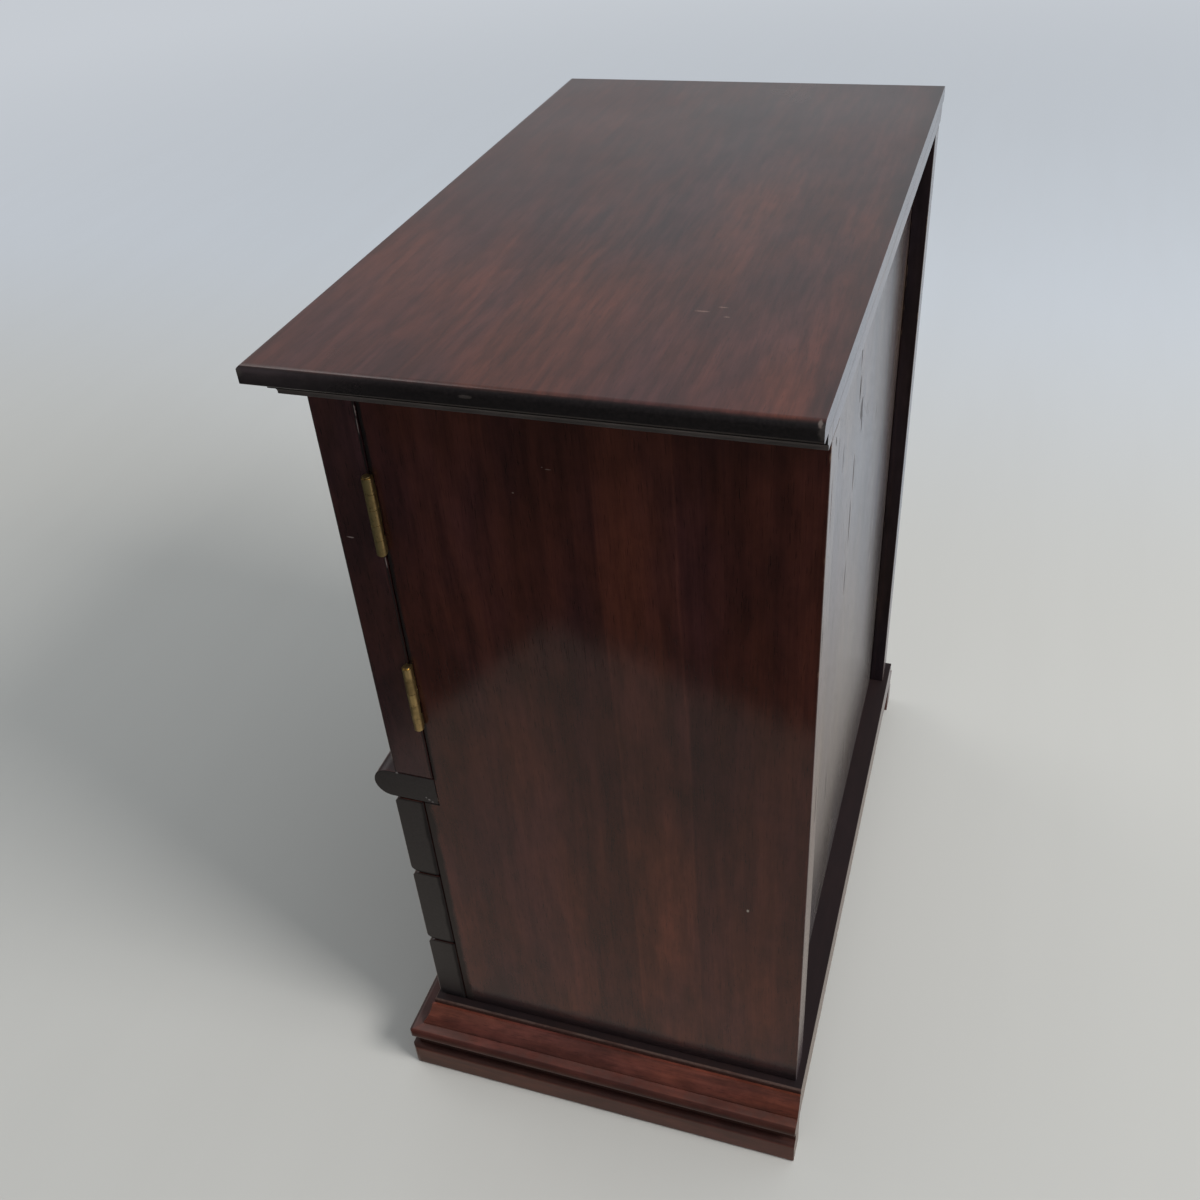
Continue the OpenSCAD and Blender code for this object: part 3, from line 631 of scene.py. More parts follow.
def stainedEnds(tree, coords, grown, grain, colour, look):
    # end grain drinks more stain
    w = woodFigure
    axis = tuple(1.0 if letter == grain else 0.0 for letter in "XYZ")
    facing = calc(tree, "ABSOLUTE", vectorCalc(tree, "DOT_PRODUCT", coords["Normal"], axis))
    speckle = figure(tree, grown, w["speckle"], *w["speckleTones"])
    endGrain = stretch(tree, gatherEqual(tree, speckle), look["endGrain"])
    return mixColours(tree, spread(tree, facing, *w["endFacing"]), colour, endGrain)


def solidWood(name, look, grain, shift=(0.0, 0.0, 0.0), finishes=(), bands=None):
    w = woodFigure
    material, tree, shader = startMaterial(name)
    coords = tree.nodes.new("ShaderNodeTexCoord").outputs
    split = tree.nodes.new("ShaderNodeSeparateXYZ")
    feed(tree, split.inputs[0], coords["Object"])
    axes = split.outputs
    local = alongGrain(tree, axes, grain, shift)
    # the tree never grew quite straight
    sway = vectorCalc(tree, "SUBTRACT", plainNoise(tree, local, w["sway"], "Color"), (0.5, 0.5, 0.5))
    grown = vectorCalc(tree, "ADD", local, stretch(tree, sway, (look["drift"] * 2,) * 3))
    fibre = plainNoise(tree, grown, w["fibre"])
    pores = figure(tree, grown, w["pores"])
    banded = bandTones(tree, axes[bands["across"]], axes[grain], bands) if bands else None
    colour = stainedGrain(tree, grown, fibre, pores, banded, look)
    colour = cloudedGrain(tree, local, grown, colour, look)
    colour = stainedEnds(tree, coords, grown, grain, colour, look)
    # arrises rubbed through here and there
    arris = tree.nodes.new("ShaderNodeAttribute")
    arris.attribute_name = "arris"
    rubbed = calc(tree, "MULTIPLY", figure(tree, coords["Object"], w["rubbed"]), look["wear"])
    rubbed = calc(tree, "MULTIPLY", arris.outputs["Fac"], rubbed)
    colour = mixColours(tree, rubbed, colour, look["worn"])
    # cloudy polish
    cloud = noise(tree, coords["Object"], *w["cloud"])
    roughness = calc(tree, "MULTIPLY_ADD", cloud, look["haze"], look["roughness"] - look["haze"] / 2)
    roughness = calc(tree, "MULTIPLY_ADD", arris.outputs["Fac"], w["arrisRoughness"], roughness)
    normal = bump(tree, plainNoise(tree, local, w["ripple"]), look["ripple"] * mm)
    normal = bump(tree, calc(tree, "MULTIPLY_ADD", pores, -1.0, fibre), look["poreDepth"] * mm, normal)
    for finish in finishes:
        colour, roughness = finish(tree, axes, coords, colour, roughness)
    feed(tree, shader.inputs["Base Color"], colour)
    feed(tree, shader.inputs["Roughness"], roughness)
    feed(tree, shader.inputs["Normal"], normal)
    shader.inputs["Specular IOR Level"].default_value = look["specular"]
    return material


dirtAndShadeValues = {"tint": (0.0062, 0.0026, 0.0028), "ragged": (130.0, 3.0, 0.6), "raggedBy": 0.8,
               "fullWithin": 0.45, "outward": (0.5, 0.9)}


def dirtAndShadeLines(lines, tint=dirtAndShadeValues["tint"], rougher=0.08):
    # lines of dirt and painted shade along joints and edges, on the outer side faces: axis, place and width
    # in millimetres, strength, and the axis and range that the line runs over
    g = dirtAndShadeValues

    def finish(tree, axes, coords, colour, roughness):
        outward = calc(tree, "ABSOLUTE", vectorCalc(tree, "DOT_PRODUCT", coords["Normal"], (1.0, 0.0, 0.0)))
        outward = spread(tree, outward, *g["outward"])
        ragged = calc(tree, "SUBTRACT", noise(tree, coords["Object"], *g["ragged"]), 0.5)
        for axis, place, width, strength, along, start, end in lines:
            off = calc(tree, "ABSOLUTE", calc(tree, "SUBTRACT", axes[axis], place * mm))
            off = calc(tree, "MULTIPLY_ADD", ragged, width * g["raggedBy"] * mm, off)
            dirtAndShade = spread(tree, off, width * g["fullWithin"] * mm, width * mm, strength, 0.0)
            inRange = calc(tree, "MULTIPLY", calc(tree, "GREATER_THAN", axes[along], start * mm),
                           calc(tree, "LESS_THAN", axes[along], end * mm))
            dirtAndShade = calc(tree, "MULTIPLY", dirtAndShade, calc(tree, "MULTIPLY", inRange, outward))
            colour = mixColours(tree, dirtAndShade, colour, tint)
            roughness = calc(tree, "MULTIPLY_ADD", dirtAndShade, rougher, roughness)
        return colour, roughness
    return finish


markValues = {"tint": (0.42, 0.36, 0.31), "ragged": 1100.0, "raggedBy": 1.1, "fullWithin": 1.15,
              "goneAt": 1.65, "most": 0.85}


def paleMarks(marks, tint=markValues["tint"], rougher=0.3, ragged=markValues["ragged"]):
    # small knocks and specks: place and size in millimetres
    m = markValues

    def finish(tree, axes, coords, colour, roughness):
        rag = noise(tree, coords["Object"], ragged, 3.0, 0.6)
        for place, size in marks:
            apart = vectorCalc(tree, "SUBTRACT", coords["Object"], tuple(value * mm for value in place))
            apart = stretch(tree, apart, tuple(1.0 / (value * mm) for value in size))
            apart = calc(tree, "MULTIPLY_ADD", rag, m["raggedBy"], vectorCalc(tree, "LENGTH", apart))
            hit = spread(tree, apart, m["fullWithin"], m["goneAt"], m["most"], 0.0)
            colour = mixColours(tree, hit, colour, tint)
            roughness = calc(tree, "MULTIPLY_ADD", hit, rougher, roughness)
        return colour, roughness
    return finish


def metal(name, v):
    material, tree, shader = startMaterial(name)
    coords = tree.nodes.new("ShaderNodeTexCoord").outputs["Object"]
    patina = figure(tree, coords, v["patina"])
    colour = mixColours(tree, patina, v["bright"], v["dull"])
    spots = calc(tree, "MULTIPLY", figure(tree, coords, v["spots"]), v["spotMost"])
    feed(tree, shader.inputs["Base Color"], mixColours(tree, spots, colour, v["spot"]))
    feed(tree, shader.inputs["Roughness"], calc(tree, "MULTIPLY_ADD", patina, v["dulled"], v["roughness"]))
    brushed = plainNoise(tree, coords, v["brush"])
    feed(tree, shader.inputs["Normal"], bump(tree, brushed, v["brushDepth"] * mm))
    shader.inputs["Metallic"].default_value = 1.0
    return material


brassValues = {
    "bright": (0.62, 0.46, 0.21), "dull": (0.36, 0.26, 0.12), "spot": (0.10, 0.065, 0.03),
    "patina": (180.0, 4.0, 0.6, 0.38, 0.66), "spots": (900.0, 2.0, 0.5, 0.62, 0.72), "spotMost": 0.6,
    "brush": ((900.0, 900.0, 9000.0), 3.0, 0.7), "brushDepth": 0.012, "roughness": 0.34, "dulled": 0.16,
}
steelValues = dict(
    brassValues, bright=(0.55, 0.55, 0.56), dull=(0.36, 0.36, 0.37), spot=(0.16, 0.15, 0.14),
    patina=(160.0, 4.0, 0.6, 0.38, 0.66), spots=(700.0, 2.0, 0.5, 0.62, 0.72),
    brush=((9000.0, 900.0, 900.0), 3.0, 0.7), roughness=0.32)
feltValues = {
    "deep": (0.090, 0.006, 0.012), "pile": (0.20, 0.018, 0.030), "fleck": (0.30, 0.05, 0.06),
    "pileNoise": (1600.0, 3.0, 0.7), "pileDepth": 0.25, "brushed": (45.0, 3.0, 0.6, 0.45, 0.7),
    "brushedMost": 0.35, "roughness": 0.95, "sheen": 0.5, "sheenRoughness": 0.4, "specular": 0.15,
}


def feltMaterial(v):
    material, tree, shader = startMaterial("redFelt")
    coords = tree.nodes.new("ShaderNodeTexCoord").outputs["Object"]
    pile = noise(tree, coords, *v["pileNoise"])
    colour = mixColours(tree, pile, v["deep"], v["pile"])
    brushed = figure(tree, coords, v["brushed"], 0.0, v["brushedMost"])
    feed(tree, shader.inputs["Base Color"], mixColours(tree, brushed, colour, v["fleck"]))
    feed(tree, shader.inputs["Normal"], bump(tree, pile, v["pileDepth"] * mm))
    shader.inputs["Roughness"].default_value = v["roughness"]
    shader.inputs["Sheen Weight"].default_value = v["sheen"]
    shader.inputs["Sheen Roughness"].default_value = v["sheenRoughness"]
    shader.inputs["Specular IOR Level"].default_value = v["specular"]
    return material


brass = metal("agedBrass", brassValues)
steel = metal("nickelSteel", steelValues)
felt = feltMaterial(feltValues)
print("metals and felt mixed")


# Faces that show only from behind get the back panel's pale grey colours and a strong polish: painted sheen,
# for the pale glare they show at a grazing angle

rearValues = {"rearFrom": 88.0, "recessFrom": 86.0, "recessWithin": 135.5}
rearSheenLook = dict(backLook, specular=0.68)
rearUpright = solidWood("rearUprightWood", rearSheenLook, "Z", (0.3, 0.1, 0.2))
rearAcross = solidWood("rearAcrossWood", rearSheenLook, "X", (0.1, 0.4, 0.2))


def isRear(poly):
    return poly.normal.y > 0.9 and poly.center.y > rearValues["rearFrom"] * mm


def isRecess(poly):
    # the inner faces of the sides behind the back panel, which have never been polished; their darker
    # colours are painted shade for this deep recess
    inner = abs(poly.normal.x) > 0.9 and abs(poly.center.x) < rearValues["recessWithin"] * mm
    return inner and poly.center.y > rearValues["recessFrom"] * mm


# Top board and the moulding under it

topValues = {
    "scratches": [((100, 43, 392), (0.5, 2.6, 1)), ((96, 49, 392), (0.4, 1.8, 1)),
                  ((103, 52, 392), (0.4, 1.2, 1)), ((-163, 20, 392), (1.0, 1.0, 1)),
                  ((-60, 40, 392), (0.5, 0.5, 1))],
    "cornerChip": [((163.8, 93.0, 390.9), (1.3, 0.8, 1.5))],
    "rubbedCorner": [((165, 94.3, 389.0), (2.0, 1.9, 2.8)), ((165, -94.0, 389.5), (2.4, 2.0, 1.6)),
                     ((165, -14.5, 389.0), (1.0, 2.4, 0.7))],
    "fade": {"level": (0.85, 0.99), "red": (-20, 150), "redMost": 0.10, "redTint": (0.150, 0.044, 0.029),
             "front": (-95, 0), "frontMost": 0.16,
             "grey": (-160, 100), "greyMost": 0.45, "greyTint": (0.040, 0.030, 0.032)},
    # painted shade above the moulding's foot, and a paler foot that is partly dust and partly painted light
    "foot": {"upTo": (380.3, 381.2), "cloud": (60.0, 3.0, 0.6, 0.3, 0.7), "cloudLeast": 0.65, "gloss": 0.15,
             "dull": 0.2, "shadeBlack": (0.0065, 0.0055, 0.0055), "rubbed": (0.075, 0.060, 0.057)},
    # painted sheen on the upright edge towards the front corner
    "edgeSheen": {"upright": (0.5, 0.9), "near": (-95, -35), "most": 0.72, "height": (385.0, 391.5),
              "lowShare": 0.35, "cloud": (160.0, 3.0, 0.6, 0.3, 0.7), "cloudLeast": 0.6,
              "colour": (0.056, 0.042, 0.046)},
    "darkRim": {"across": (85, 94), "most": 0.42, "colour": (0.012, 0.010, 0.011)},
    "scratchTint": (0.20, 0.13, 0.11),
    "cornerTint": (0.050, 0.040, 0.037),
    "chipTint": (0.15, 0.12, 0.11),
}


def warmerNearEnd(tree, axes, coords, colour, roughness):
    # one end of the board has kept more of its red, the other has gone grey
    v = topValues["fade"]
    level = spread(tree, upward(tree, coords), *v["level"])
    red = spreadOver(tree, axes["X"], v["red"], 0.0, v["redMost"])
    front = spreadOver(tree, axes["Y"], v["front"], v["frontMost"], 0.0)
    grey = spreadOver(tree, axes["X"], v["grey"], v["greyMost"], 0.0)
    red = calc(tree, "MULTIPLY", level, calc(tree, "MAXIMUM", red, front))
    colour = mixColours(tree, red, colour, v["redTint"])
    return mixColours(tree, calc(tree, "MULTIPLY", level, grey), colour, v["greyTint"]), roughness


def paintedEdgeSheen(tree, axes, coords, colour, roughness):
    # painted sheen: the upright edge is made paler grey towards the front corner, most of all high up along
    # its arris, for the sky and wall that the rounded arris mirrors
    v = topValues["edgeSheen"]
    upright = spread(tree, upward(tree, coords), *v["upright"], 1.0, 0.0)
    near = spreadOver(tree, axes["Y"], v["near"], v["most"], 0.0)
    high = spreadOver(tree, axes["Z"], v["height"], v["lowShare"], 1.0)
    cloud = figure(tree, coords["Object"], v["cloud"], v["cloudLeast"], 1.0)
    dust = calc(tree, "MULTIPLY", calc(tree, "MULTIPLY", upright, near), calc(tree, "MULTIPLY", high, cloud))
    return mixColours(tree, dust, colour, v["colour"]), roughness


def darkRim(tree, axes, coords, colour, roughness):
    # old stain lies thicker along the back edge
    v = topValues["darkRim"]
    rim = spreadOver(tree, axes["Y"], v["across"], 0.0, v["most"])
    return mixColours(tree, rim, colour, v["colour"]), roughness


def paleFootShadedAbove(tree, axes, coords, colour, roughness):
    # painted shade: the members above the foot, in the shadow of the top's overhang, are painted black; the
    # foot is paler, partly dust and rubbing and partly painted light
    v = topValues["foot"]
    foot = spreadOver(tree, axes["Z"], v["upTo"], 1.0, 0.0)
    rubbed = calc(tree, "MULTIPLY", foot, figure(tree, coords["Object"], v["cloud"], v["cloudLeast"], 1.0))
    roughness = calc(tree, "MULTIPLY_ADD", foot, -v["gloss"], calc(tree, "ADD", roughness, v["dull"]))
    return mixColours(tree, rubbed, v["shadeBlack"], v["rubbed"]), roughness


def makeTop():
    v = topValues
    finishes = (warmerNearEnd, darkRim, paintedEdgeSheen, paleMarks(v["scratches"], v["scratchTint"]),
                paleMarks(v["rubbedCorner"], v["cornerTint"]), paleMarks(v["cornerChip"], v["chipTint"]))
    board = solidWood("topBoardWood", topLook, "X", (0.02, 0.0, 0.1), finishes)
    giveFaces(dressPiece("top_board", "topBoard", "case", board, 0.35, 3.0), rearAcross, isRear)
    below = solidWood("subTopWood", sideLook, "X", (0.3, 0.1, 0))
    giveFaces(dressPiece("sub_top", "subTopBoard", "case", below, 0.3), rearAcross, isRear)
    front = solidWood("topMouldingFrontWood", trimLook, "X", (0.4, 0.2, 0.0), (paleFootShadedAbove,))
    sides = solidWood("topMouldingSideWood", trimLook, "Y", (0.1, 0.5, 0.0), (paleFootShadedAbove,))
    dressPiece("top_moulding_front", "topMouldingFront", "case", front, 0.2)
    for side in ("left", "right"):
        name = "topMoulding" + side.title()
        piece = dressPiece("top_moulding_" + side, name, "case", sides, 0.2)
        giveFaces(piece, rearUpright, isRear)


# Case boards

sideValues = {
    "bands": {"across": "Y", "lean": 0.018, "wander": 3.0, "sway": ((7.0, 7.0, 7.0), 2.0, 0.5),
              "stops": [(-75, 0.52), (-42, 0.60), (-34, 0.46), (-8, 0.54), (18.0, 0.60), (25.4, 0.64),
                        (25.9, 0.34), (26.8, 0.44), (40, 0.38), (53.0, 0.46), (53.6, 0.28), (54.4, 0.66),
                        (70, 0.58), (100, 0.64)]},
    # painted light: the lower part of the side is made paler, for the light that the pale floor throws onto
    # it
    "fade": {"height": (50, 300), "gain": (1.42, 1.32, 1.22)},
    # dark along the joints with the door, the drawers and the waist: partly dirt, and beside the drawers
    # mostly painted shade in a wide band
    "joints": [("Y", -62.5, 2.0, 0.95, "Z", 197, 378), ("Y", -69.5, 4.8, 0.95, "Z", 41, 182),
               ("Z", 182, 1.0, 0.90, "Y", -70, -62)],
    # darker along the foot of the side, where it meets the ledge: partly dirt and partly painted shade in
    # the corner
    "footDirtAndShade": [("Z", 41, 8.0, 0.86, "Y", -70, 95)],
    "dirtAndShadeTint": (0.0165, 0.0108, 0.0118),
    "bloom": [("Z", 44, 11.0, 0.60, "Y", -70, 95)],
    "bloomTint": (0.0220, 0.0190, 0.0230),
    "backScratches": [((144.0, 94.5, 379.0), (1.8, 1, 1.4)), ((141.0, 94.5, 372.5), (0.9, 1, 1.6)),
                      ((144.5, 94.5, 352), (0.5, 1, 12)), ((147.0, 94.5, 300), (0.5, 1, 9)),
                      ((140.0, 94.5, 214), (0.6, 1, 12))],
    "specks": [((150, 3.7, 356.6), (0.6, 1.2, 0.2)), ((150, 1.7, 357.2), (0.6, 0.3, 0.2)),
               ((150, -9.7, 345.9), (0.6, 0.5, 0.35))],
    "speckTint": (0.13, 0.085, 0.07),
    "brightSpeck": [((150, 71.1, 155.4), (0.6, 0.6, 0.9))],
    "waistChips": [((150, -66.6, 184.0), (0.6, 0.7, 0.5)), ((150, -67.9, 185.0), (0.6, 0.4, 0.5)),
                   ((150, -65.2, 183.0), (0.6, 0.4, 0.4)), ((150, -79.6, 196.8), (0.8, 0.7, 0.4))],
    "chipTint": (0.20, 0.18, 0.18),
    "shifts": {"left": (0.21, 0.013, 0.4), "right": (0.0, 0.0, 0.0)},
}


# dark scratches and open grain on the back panel, and smudges low down: place and size in millimetres
backValues = {
    "smudges": [((-8.4, 86.5, 84.6), (3.0, 1, 3.4)), ((16.0, 86.5, 63.0), (7.0, 1, 6.0)),
                ((48.0, 86.5, 50.0), (12.0, 1, 6.0)), ((90.0, 86.5, 47.0), (14.0, 1, 5.0)),
                ((12.3, 86.5, 313.0), (4.0, 1, 6.0))],
    "smudgeTint": (0.018, 0.013, 0.012),
    "smudgeRagged": 150.0,
    "marks": [((-9.0, 86.5, 303.6), (0.7, 1, 1.5)), ((-7.4, 86.5, 301.4), (0.7, 1, 1.5)),
              ((9.3, 86.5, 305.5), (1.4, 1, 5.5)), ((25.5, 86.5, 291.0), (1.3, 1, 9.0)),
              ((20.8, 86.5, 327.0), (1.8, 1, 6.0)), ((22.5, 86.5, 344.0), (1.1, 1, 8.0)),
              ((28.0, 86.5, 268.0), (1.2, 1, 12.0)), ((31.0, 86.5, 240.0), (0.9, 1, 9.0)),
              ((60.0, 86.5, 318.0), (0.6, 1, 7.0)), ((74.0, 86.5, 330.0), (0.5, 1, 5.0)),
              ((-46.0, 86.5, 280.0), (0.5, 1, 9.0)), ((-70.0, 86.5, 190.0), (0.6, 1, 14.0)),
              ((50.0, 86.5, 130.0), (0.6, 1, 11.0)), ((-20.0, 86.5, 96.0), (0.5, 1, 8.0))],
    "markTint": (0.004, 0.004, 0.004),
    "dust": {"height": (80, 280), "most": 0.55, "colour": (0.120, 0.112, 0.108)},
}


def dustyBack(tree, axes, coords, colour, roughness):
    # dust has settled on the lower part of the back
    v = backValues["dust"]
    dust = spreadOver(tree, axes["Z"], v["height"], v["most"], 0.0)
    return mixColours(tree, dust, colour, v["colour"]), roughness


def paintedFloorLight(tree, axes, coords, colour, roughness):
    # painted light: the lower part is made paler, for the light that the pale floor throws onto it
    v = sideValues["fade"]
    height = spreadOver(tree, axes["Z"], v["height"])
    return stretch(tree, colour, mixColours(tree, height, v["gain"], (1.0, 1.0, 1.0))), roughness


# painted shade: the recess behind the back panel gets darker colours than the side, and little polish
shadedRecessLook = dict(sideLook, dark=(0.010, 0.0062, 0.0068), mid=(0.016, 0.0098, 0.0108),
                  light=(0.026, 0.016, 0.017), roughness=0.55, specular=0.10)


def makeCase():
    v = sideValues
    b = backValues
    rearScratched = solidWood("rearScratchedWood", rearSheenLook, "Z", (0.3, 0.1, 0.2),
                              (paleMarks(v["backScratches"], b["markTint"], 0.7),))
    recess = solidWood("recessWood", shadedRecessLook, "Z", (0.1, 0.2, 0.1))
    for side, shift in v["shifts"].items():
        finishes = [paintedFloorLight, dirtAndShadeLines(v["bloom"], v["bloomTint"]),
                    dirtAndShadeLines(v["footDirtAndShade"], v["dirtAndShadeTint"]), dirtAndShadeLines(v["joints"], rougher=0.3)]
        if side == "right":
            finishes += [paleMarks(v["specks"], v["speckTint"]), paleMarks(v["brightSpeck"])]
        wood = solidWood(side + "SideWood", sideLook, "Z", shift, finishes, v["bands"])
        piece = dressPiece(side + "_side", side + "SideBoard", "case", wood, 0.5, 3.0)
        giveFaces(piece, rearScratched if side == "right" else rearUpright, isRear)
        giveFaces(piece, recess, isRecess)
    panel = solidWood("backPanelWood", backLook, "Z", (0.0, 0.0, 0.0),
                      (dustyBack, paleMarks(b["smudges"], b["smudgeTint"], 0.35, b["smudgeRagged"]),
                       paleMarks(b["marks"], b["markTint"], 0.7)))
    dressPiece("back_panel", "backPanel", "case", panel, 0.3, 3.0)
    waist = solidWood("waistWood", endLook, "X", (0.2, 0.3, 0.5),
                      (paleMarks(v["waistChips"], v["chipTint"]),))
    dressPiece("waist_board", "waistBoard", "case", waist, 0.4, 0.3)
    shelf = solidWood("shelfWood", innerLook, "X", (0.1, 0.2, 0.3))
    dressPiece("cupboard_shelf", "cupboardShelf", "case", shelf, 0.3, 3.0)
    strips = solidWood("runnerWood", innerLook, "Y", (0.5, 0.1, 0.2))
    for side in ("left", "right"):
        dressPiece(side + "_runners", side + "Runners", "case", strips, 0.4, 2.0)


# Base: board and mitred moulding, with painted shade in its hollows and a painted highlight on its lip

# heights of the members in millimetres, how far a face must look up, how much each member is tinted, with
# painted shade in the hollows and on the lip's round and a painted highlight on the lip's top, and the tints
baseShade = {
    "hollowFrom": (11.8, 13.0), "hollowTo": (20.2, 21.3), "quirk": 26.9, "quirkFade": (0.3, 1.08),
    "quirkMost": 0.20, "dirtAndShadeMost": 0.80, "dirtAndShadeTint": (0.014, 0.0068, 0.0058), "rougher": 0.3,
    "foot": (11.6, 12.6), "footMost": 0.55, "footTint": (0.058, 0.0275, 0.0200),
    "rake": (26.9, 33.5), "rakeMost": 0.42, "crest": (37.3, 37.7), "crestShadeMost": 0.25,
    "nose": (20.0, 26.3), "noseUp": (0.92, 0.995), "noseShadeMost": 0.68, "lowTint": (0.016, 0.0065, 0.0055),
    "paintedShineUp": (0.93, 0.995), "broken": (55.0, 4.0, 0.65, 0.35, 0.62), "brokenTones": (0.25, 0.75),
    "paintedShineTint": (0.085, 0.050, 0.044),
}
ledgeShade = {
    "dirtAndShadeUp": (0.93, 0.99), "dirtAndShadeMost": 0.85, "dirtAndShadeTint": (0.0120, 0.0088, 0.0100),
    "arris": 38.9, "arrisUp": (0.25, 0.5), "arrisEnd": (0.95, 0.99), "broken": (70.0, 4.0, 0.7, 0.40, 0.56),
    "alwaysPale": 0.4, "wearAndHighlightMost": 0.34, "wearAndHighlightTint": (0.17, 0.12, 0.10),
    "roughUp": (0.3, 0.6), "roughness": 0.62,
}


def shadeHollows(tree, axes, coords, colour, roughness):
    v = baseShade
    z = axes["Z"]
    level = upward(tree, coords)
    # painted shade, partly dirt: the hollow between the foot and the lip, and the quirk above the lip, are
    # darkened
    inHollow = calc(tree, "MULTIPLY", spreadOver(tree, z, v["hollowFrom"]),
                    spreadOver(tree, z, v["hollowTo"], 1.0, 0.0))
    offQuirk = calc(tree, "ABSOLUTE", calc(tree, "SUBTRACT", z, v["quirk"] * mm))
    inQuirk = spreadOver(tree, offQuirk, v["quirkFade"], v["quirkMost"], 0.0)
    dirtAndShade = calc(tree, "MULTIPLY", calc(tree, "MAXIMUM", inHollow, inQuirk), v["dirtAndShadeMost"])
    foot = spreadOver(tree, z, v["foot"], v["footMost"], 0.0)
    # the lower part of the rake is darker towards the quirk
    lowRake = calc(tree, "MULTIPLY", spreadOver(tree, z, v["rake"], v["rakeMost"], 0.0),
                   calc(tree, "GREATER_THAN", z, v["rake"][0] * mm))
    # painted shade in the crease at the top of the moulding, under the board
    crest = spreadOver(tree, z, v["crest"], 0.0, v["crestShadeMost"])
    # painted highlight on the top of the lip's round, in broken lengths, and painted shade on the rest of
    # the round
    noseLow, noseHigh = v["nose"]
    nose = calc(tree, "MULTIPLY", calc(tree, "GREATER_THAN", z, noseLow * mm),
                calc(tree, "LESS_THAN", z, noseHigh * mm))
    paintedShine = calc(tree, "MULTIPLY", nose, figure(tree, coords["Object"], v["broken"], *v["brokenTones"]))
    paintedShine = calc(tree, "MULTIPLY", paintedShine, spread(tree, level, *v["paintedShineUp"]))
    nose = calc(tree, "MULTIPLY", nose, spread(tree, level, *v["noseUp"], v["noseShadeMost"], 0.0))
    low = calc(tree, "MAXIMUM", calc(tree, "MAXIMUM", lowRake, crest), nose)
    for share, tint in ((low, "lowTint"), (paintedShine, "paintedShineTint"), (foot, "footTint"), (dirtAndShade, "dirtAndShadeTint")):
        colour = mixColours(tree, share, colour, v[tint])
    return colour, calc(tree, "MULTIPLY_ADD", dirtAndShade, v["rougher"], roughness)


def shadedLedgePaleArris(tree, axes, coords, colour, roughness):
    # painted shade, partly dirt, lies on the ledge, and its rounded arris is made pale in broken lengths,
    # partly rubbed wear and partly painted highlight
    v = ledgeShade
    level = upward(tree, coords)
    colour = mixColours(tree, spread(tree, level, *v["dirtAndShadeUp"], 0.0, v["dirtAndShadeMost"]), colour, v["dirtAndShadeTint"])
    edge = calc(tree, "MULTIPLY", spread(tree, level, *v["arrisUp"]),
                spread(tree, level, *v["arrisEnd"], 1.0, 0.0))
    edge = calc(tree, "MULTIPLY", edge, calc(tree, "GREATER_THAN", axes["Z"], v["arris"] * mm))
    broken = figure(tree, coords["Object"], v["broken"])
    broken = calc(tree, "MULTIPLY_ADD", broken, 1.0 - v["alwaysPale"], v["alwaysPale"])
    rubbed = calc(tree, "MULTIPLY", calc(tree, "MULTIPLY", broken, edge), v["wearAndHighlightMost"])
    rough = calc(tree, "MAXIMUM", roughness, spread(tree, level, *v["roughUp"], 0.0, v["roughness"]))
    return mixColours(tree, rubbed, colour, v["wearAndHighlightTint"]), rough


def makeBase():
    board = solidWood("baseBoardWood", boardLook, "X", (0.6, 0.2, 0.1), (shadedLedgePaleArris,))
    giveFaces(dressPiece("base_board", "baseBoard", "case", board, 0.4, 3.0), rearAcross, isRear)
    front = solidWood("baseMouldingFrontWood", baseLook, "X", (0.3, 0.1, 0.4), (shadeHollows,))
    sides = solidWood("baseMouldingSideWood", baseLook, "Y", (0.1, 0.0, 0.2), (shadeHollows,))
    dressPiece("base_moulding_front", "baseMouldingFront", "case", front, 0.3)
    for side in ("left", "right"):
        name = "baseMoulding" + side.title()
        piece = dressPiece("base_moulding_" + side, name, "case", sides, 0.3)
        giveFaces(piece, rearUpright, isRear)


# Turned knob: a shank, then the profile drawn out face by face. The wood's face is at the origin

knobValues = {
    "segments": 56,
    "shankRadius": 1.5,
    "shankLength": 9.0,
    "widest": 6.0,
    "smoothUpTo": 50.0,
    "profile": [(0.02, 4.25), (0.7, 4.32), (1.05, 4.15), (1.2, 3.75), (1.3, 3.1), (1.9, 2.7), (3.2, 2.35),
                (4.8, 2.4), (6.0, 2.75), (6.9, 3.3), (7.15, 3.85), (7.45, 4.0), (7.75, 3.85), (7.95, 4.3),
                (8.6, 5.2), (9.4, 5.75), (10.3, 5.98), (11.2, 5.8), (11.9, 5.25), (12.2, 4.6), (12.22, 4.35),
                (12.32, 4.2), (12.62, 3.2), (12.84, 2.0), (12.95, 0.9)],
}


def turnKnob(v):
    bpy.ops.object.select_all(action="DESELECT")
    bpy.ops.mesh.primitive_cylinder_add(vertices=v["segments"], radius=v["shankRadius"] * mm,
                                        depth=v["shankLength"] * mm, rotation=(math.radians(90), 0, 0),
                                        location=(0, v["shankLength"] * mm / 2, 0))
    knob = bpy.context.active_object
    bpy.ops.object.transform_apply(location=True, rotation=True, scale=True)
    pickFaces(knob, lambda poly: poly.normal.y < -0.9)
    bpy.ops.object.mode_set(mode="EDIT")
    reach, radius = 0.0, v["shankRadius"]
    for nextReach, nextRadius in v["profile"]:
        bpy.ops.mesh.extrude_region_move(TRANSFORM_OT_translate={"value": (0, (reach - nextReach) * mm, 0)})
        ratio = nextRadius / radius
        bpy.ops.transform.resize(value=(ratio, 1.0, ratio), center_override=(0, -nextReach * mm, 0))
        reach, radius = nextReach, nextRadius
    backToObject()
    workOn(knob)
    bpy.ops.object.shade_smooth_by_angle(angle=math.radians(v["smoothUpTo"]))
    return knob


# Slotted screws of the hinge leaves

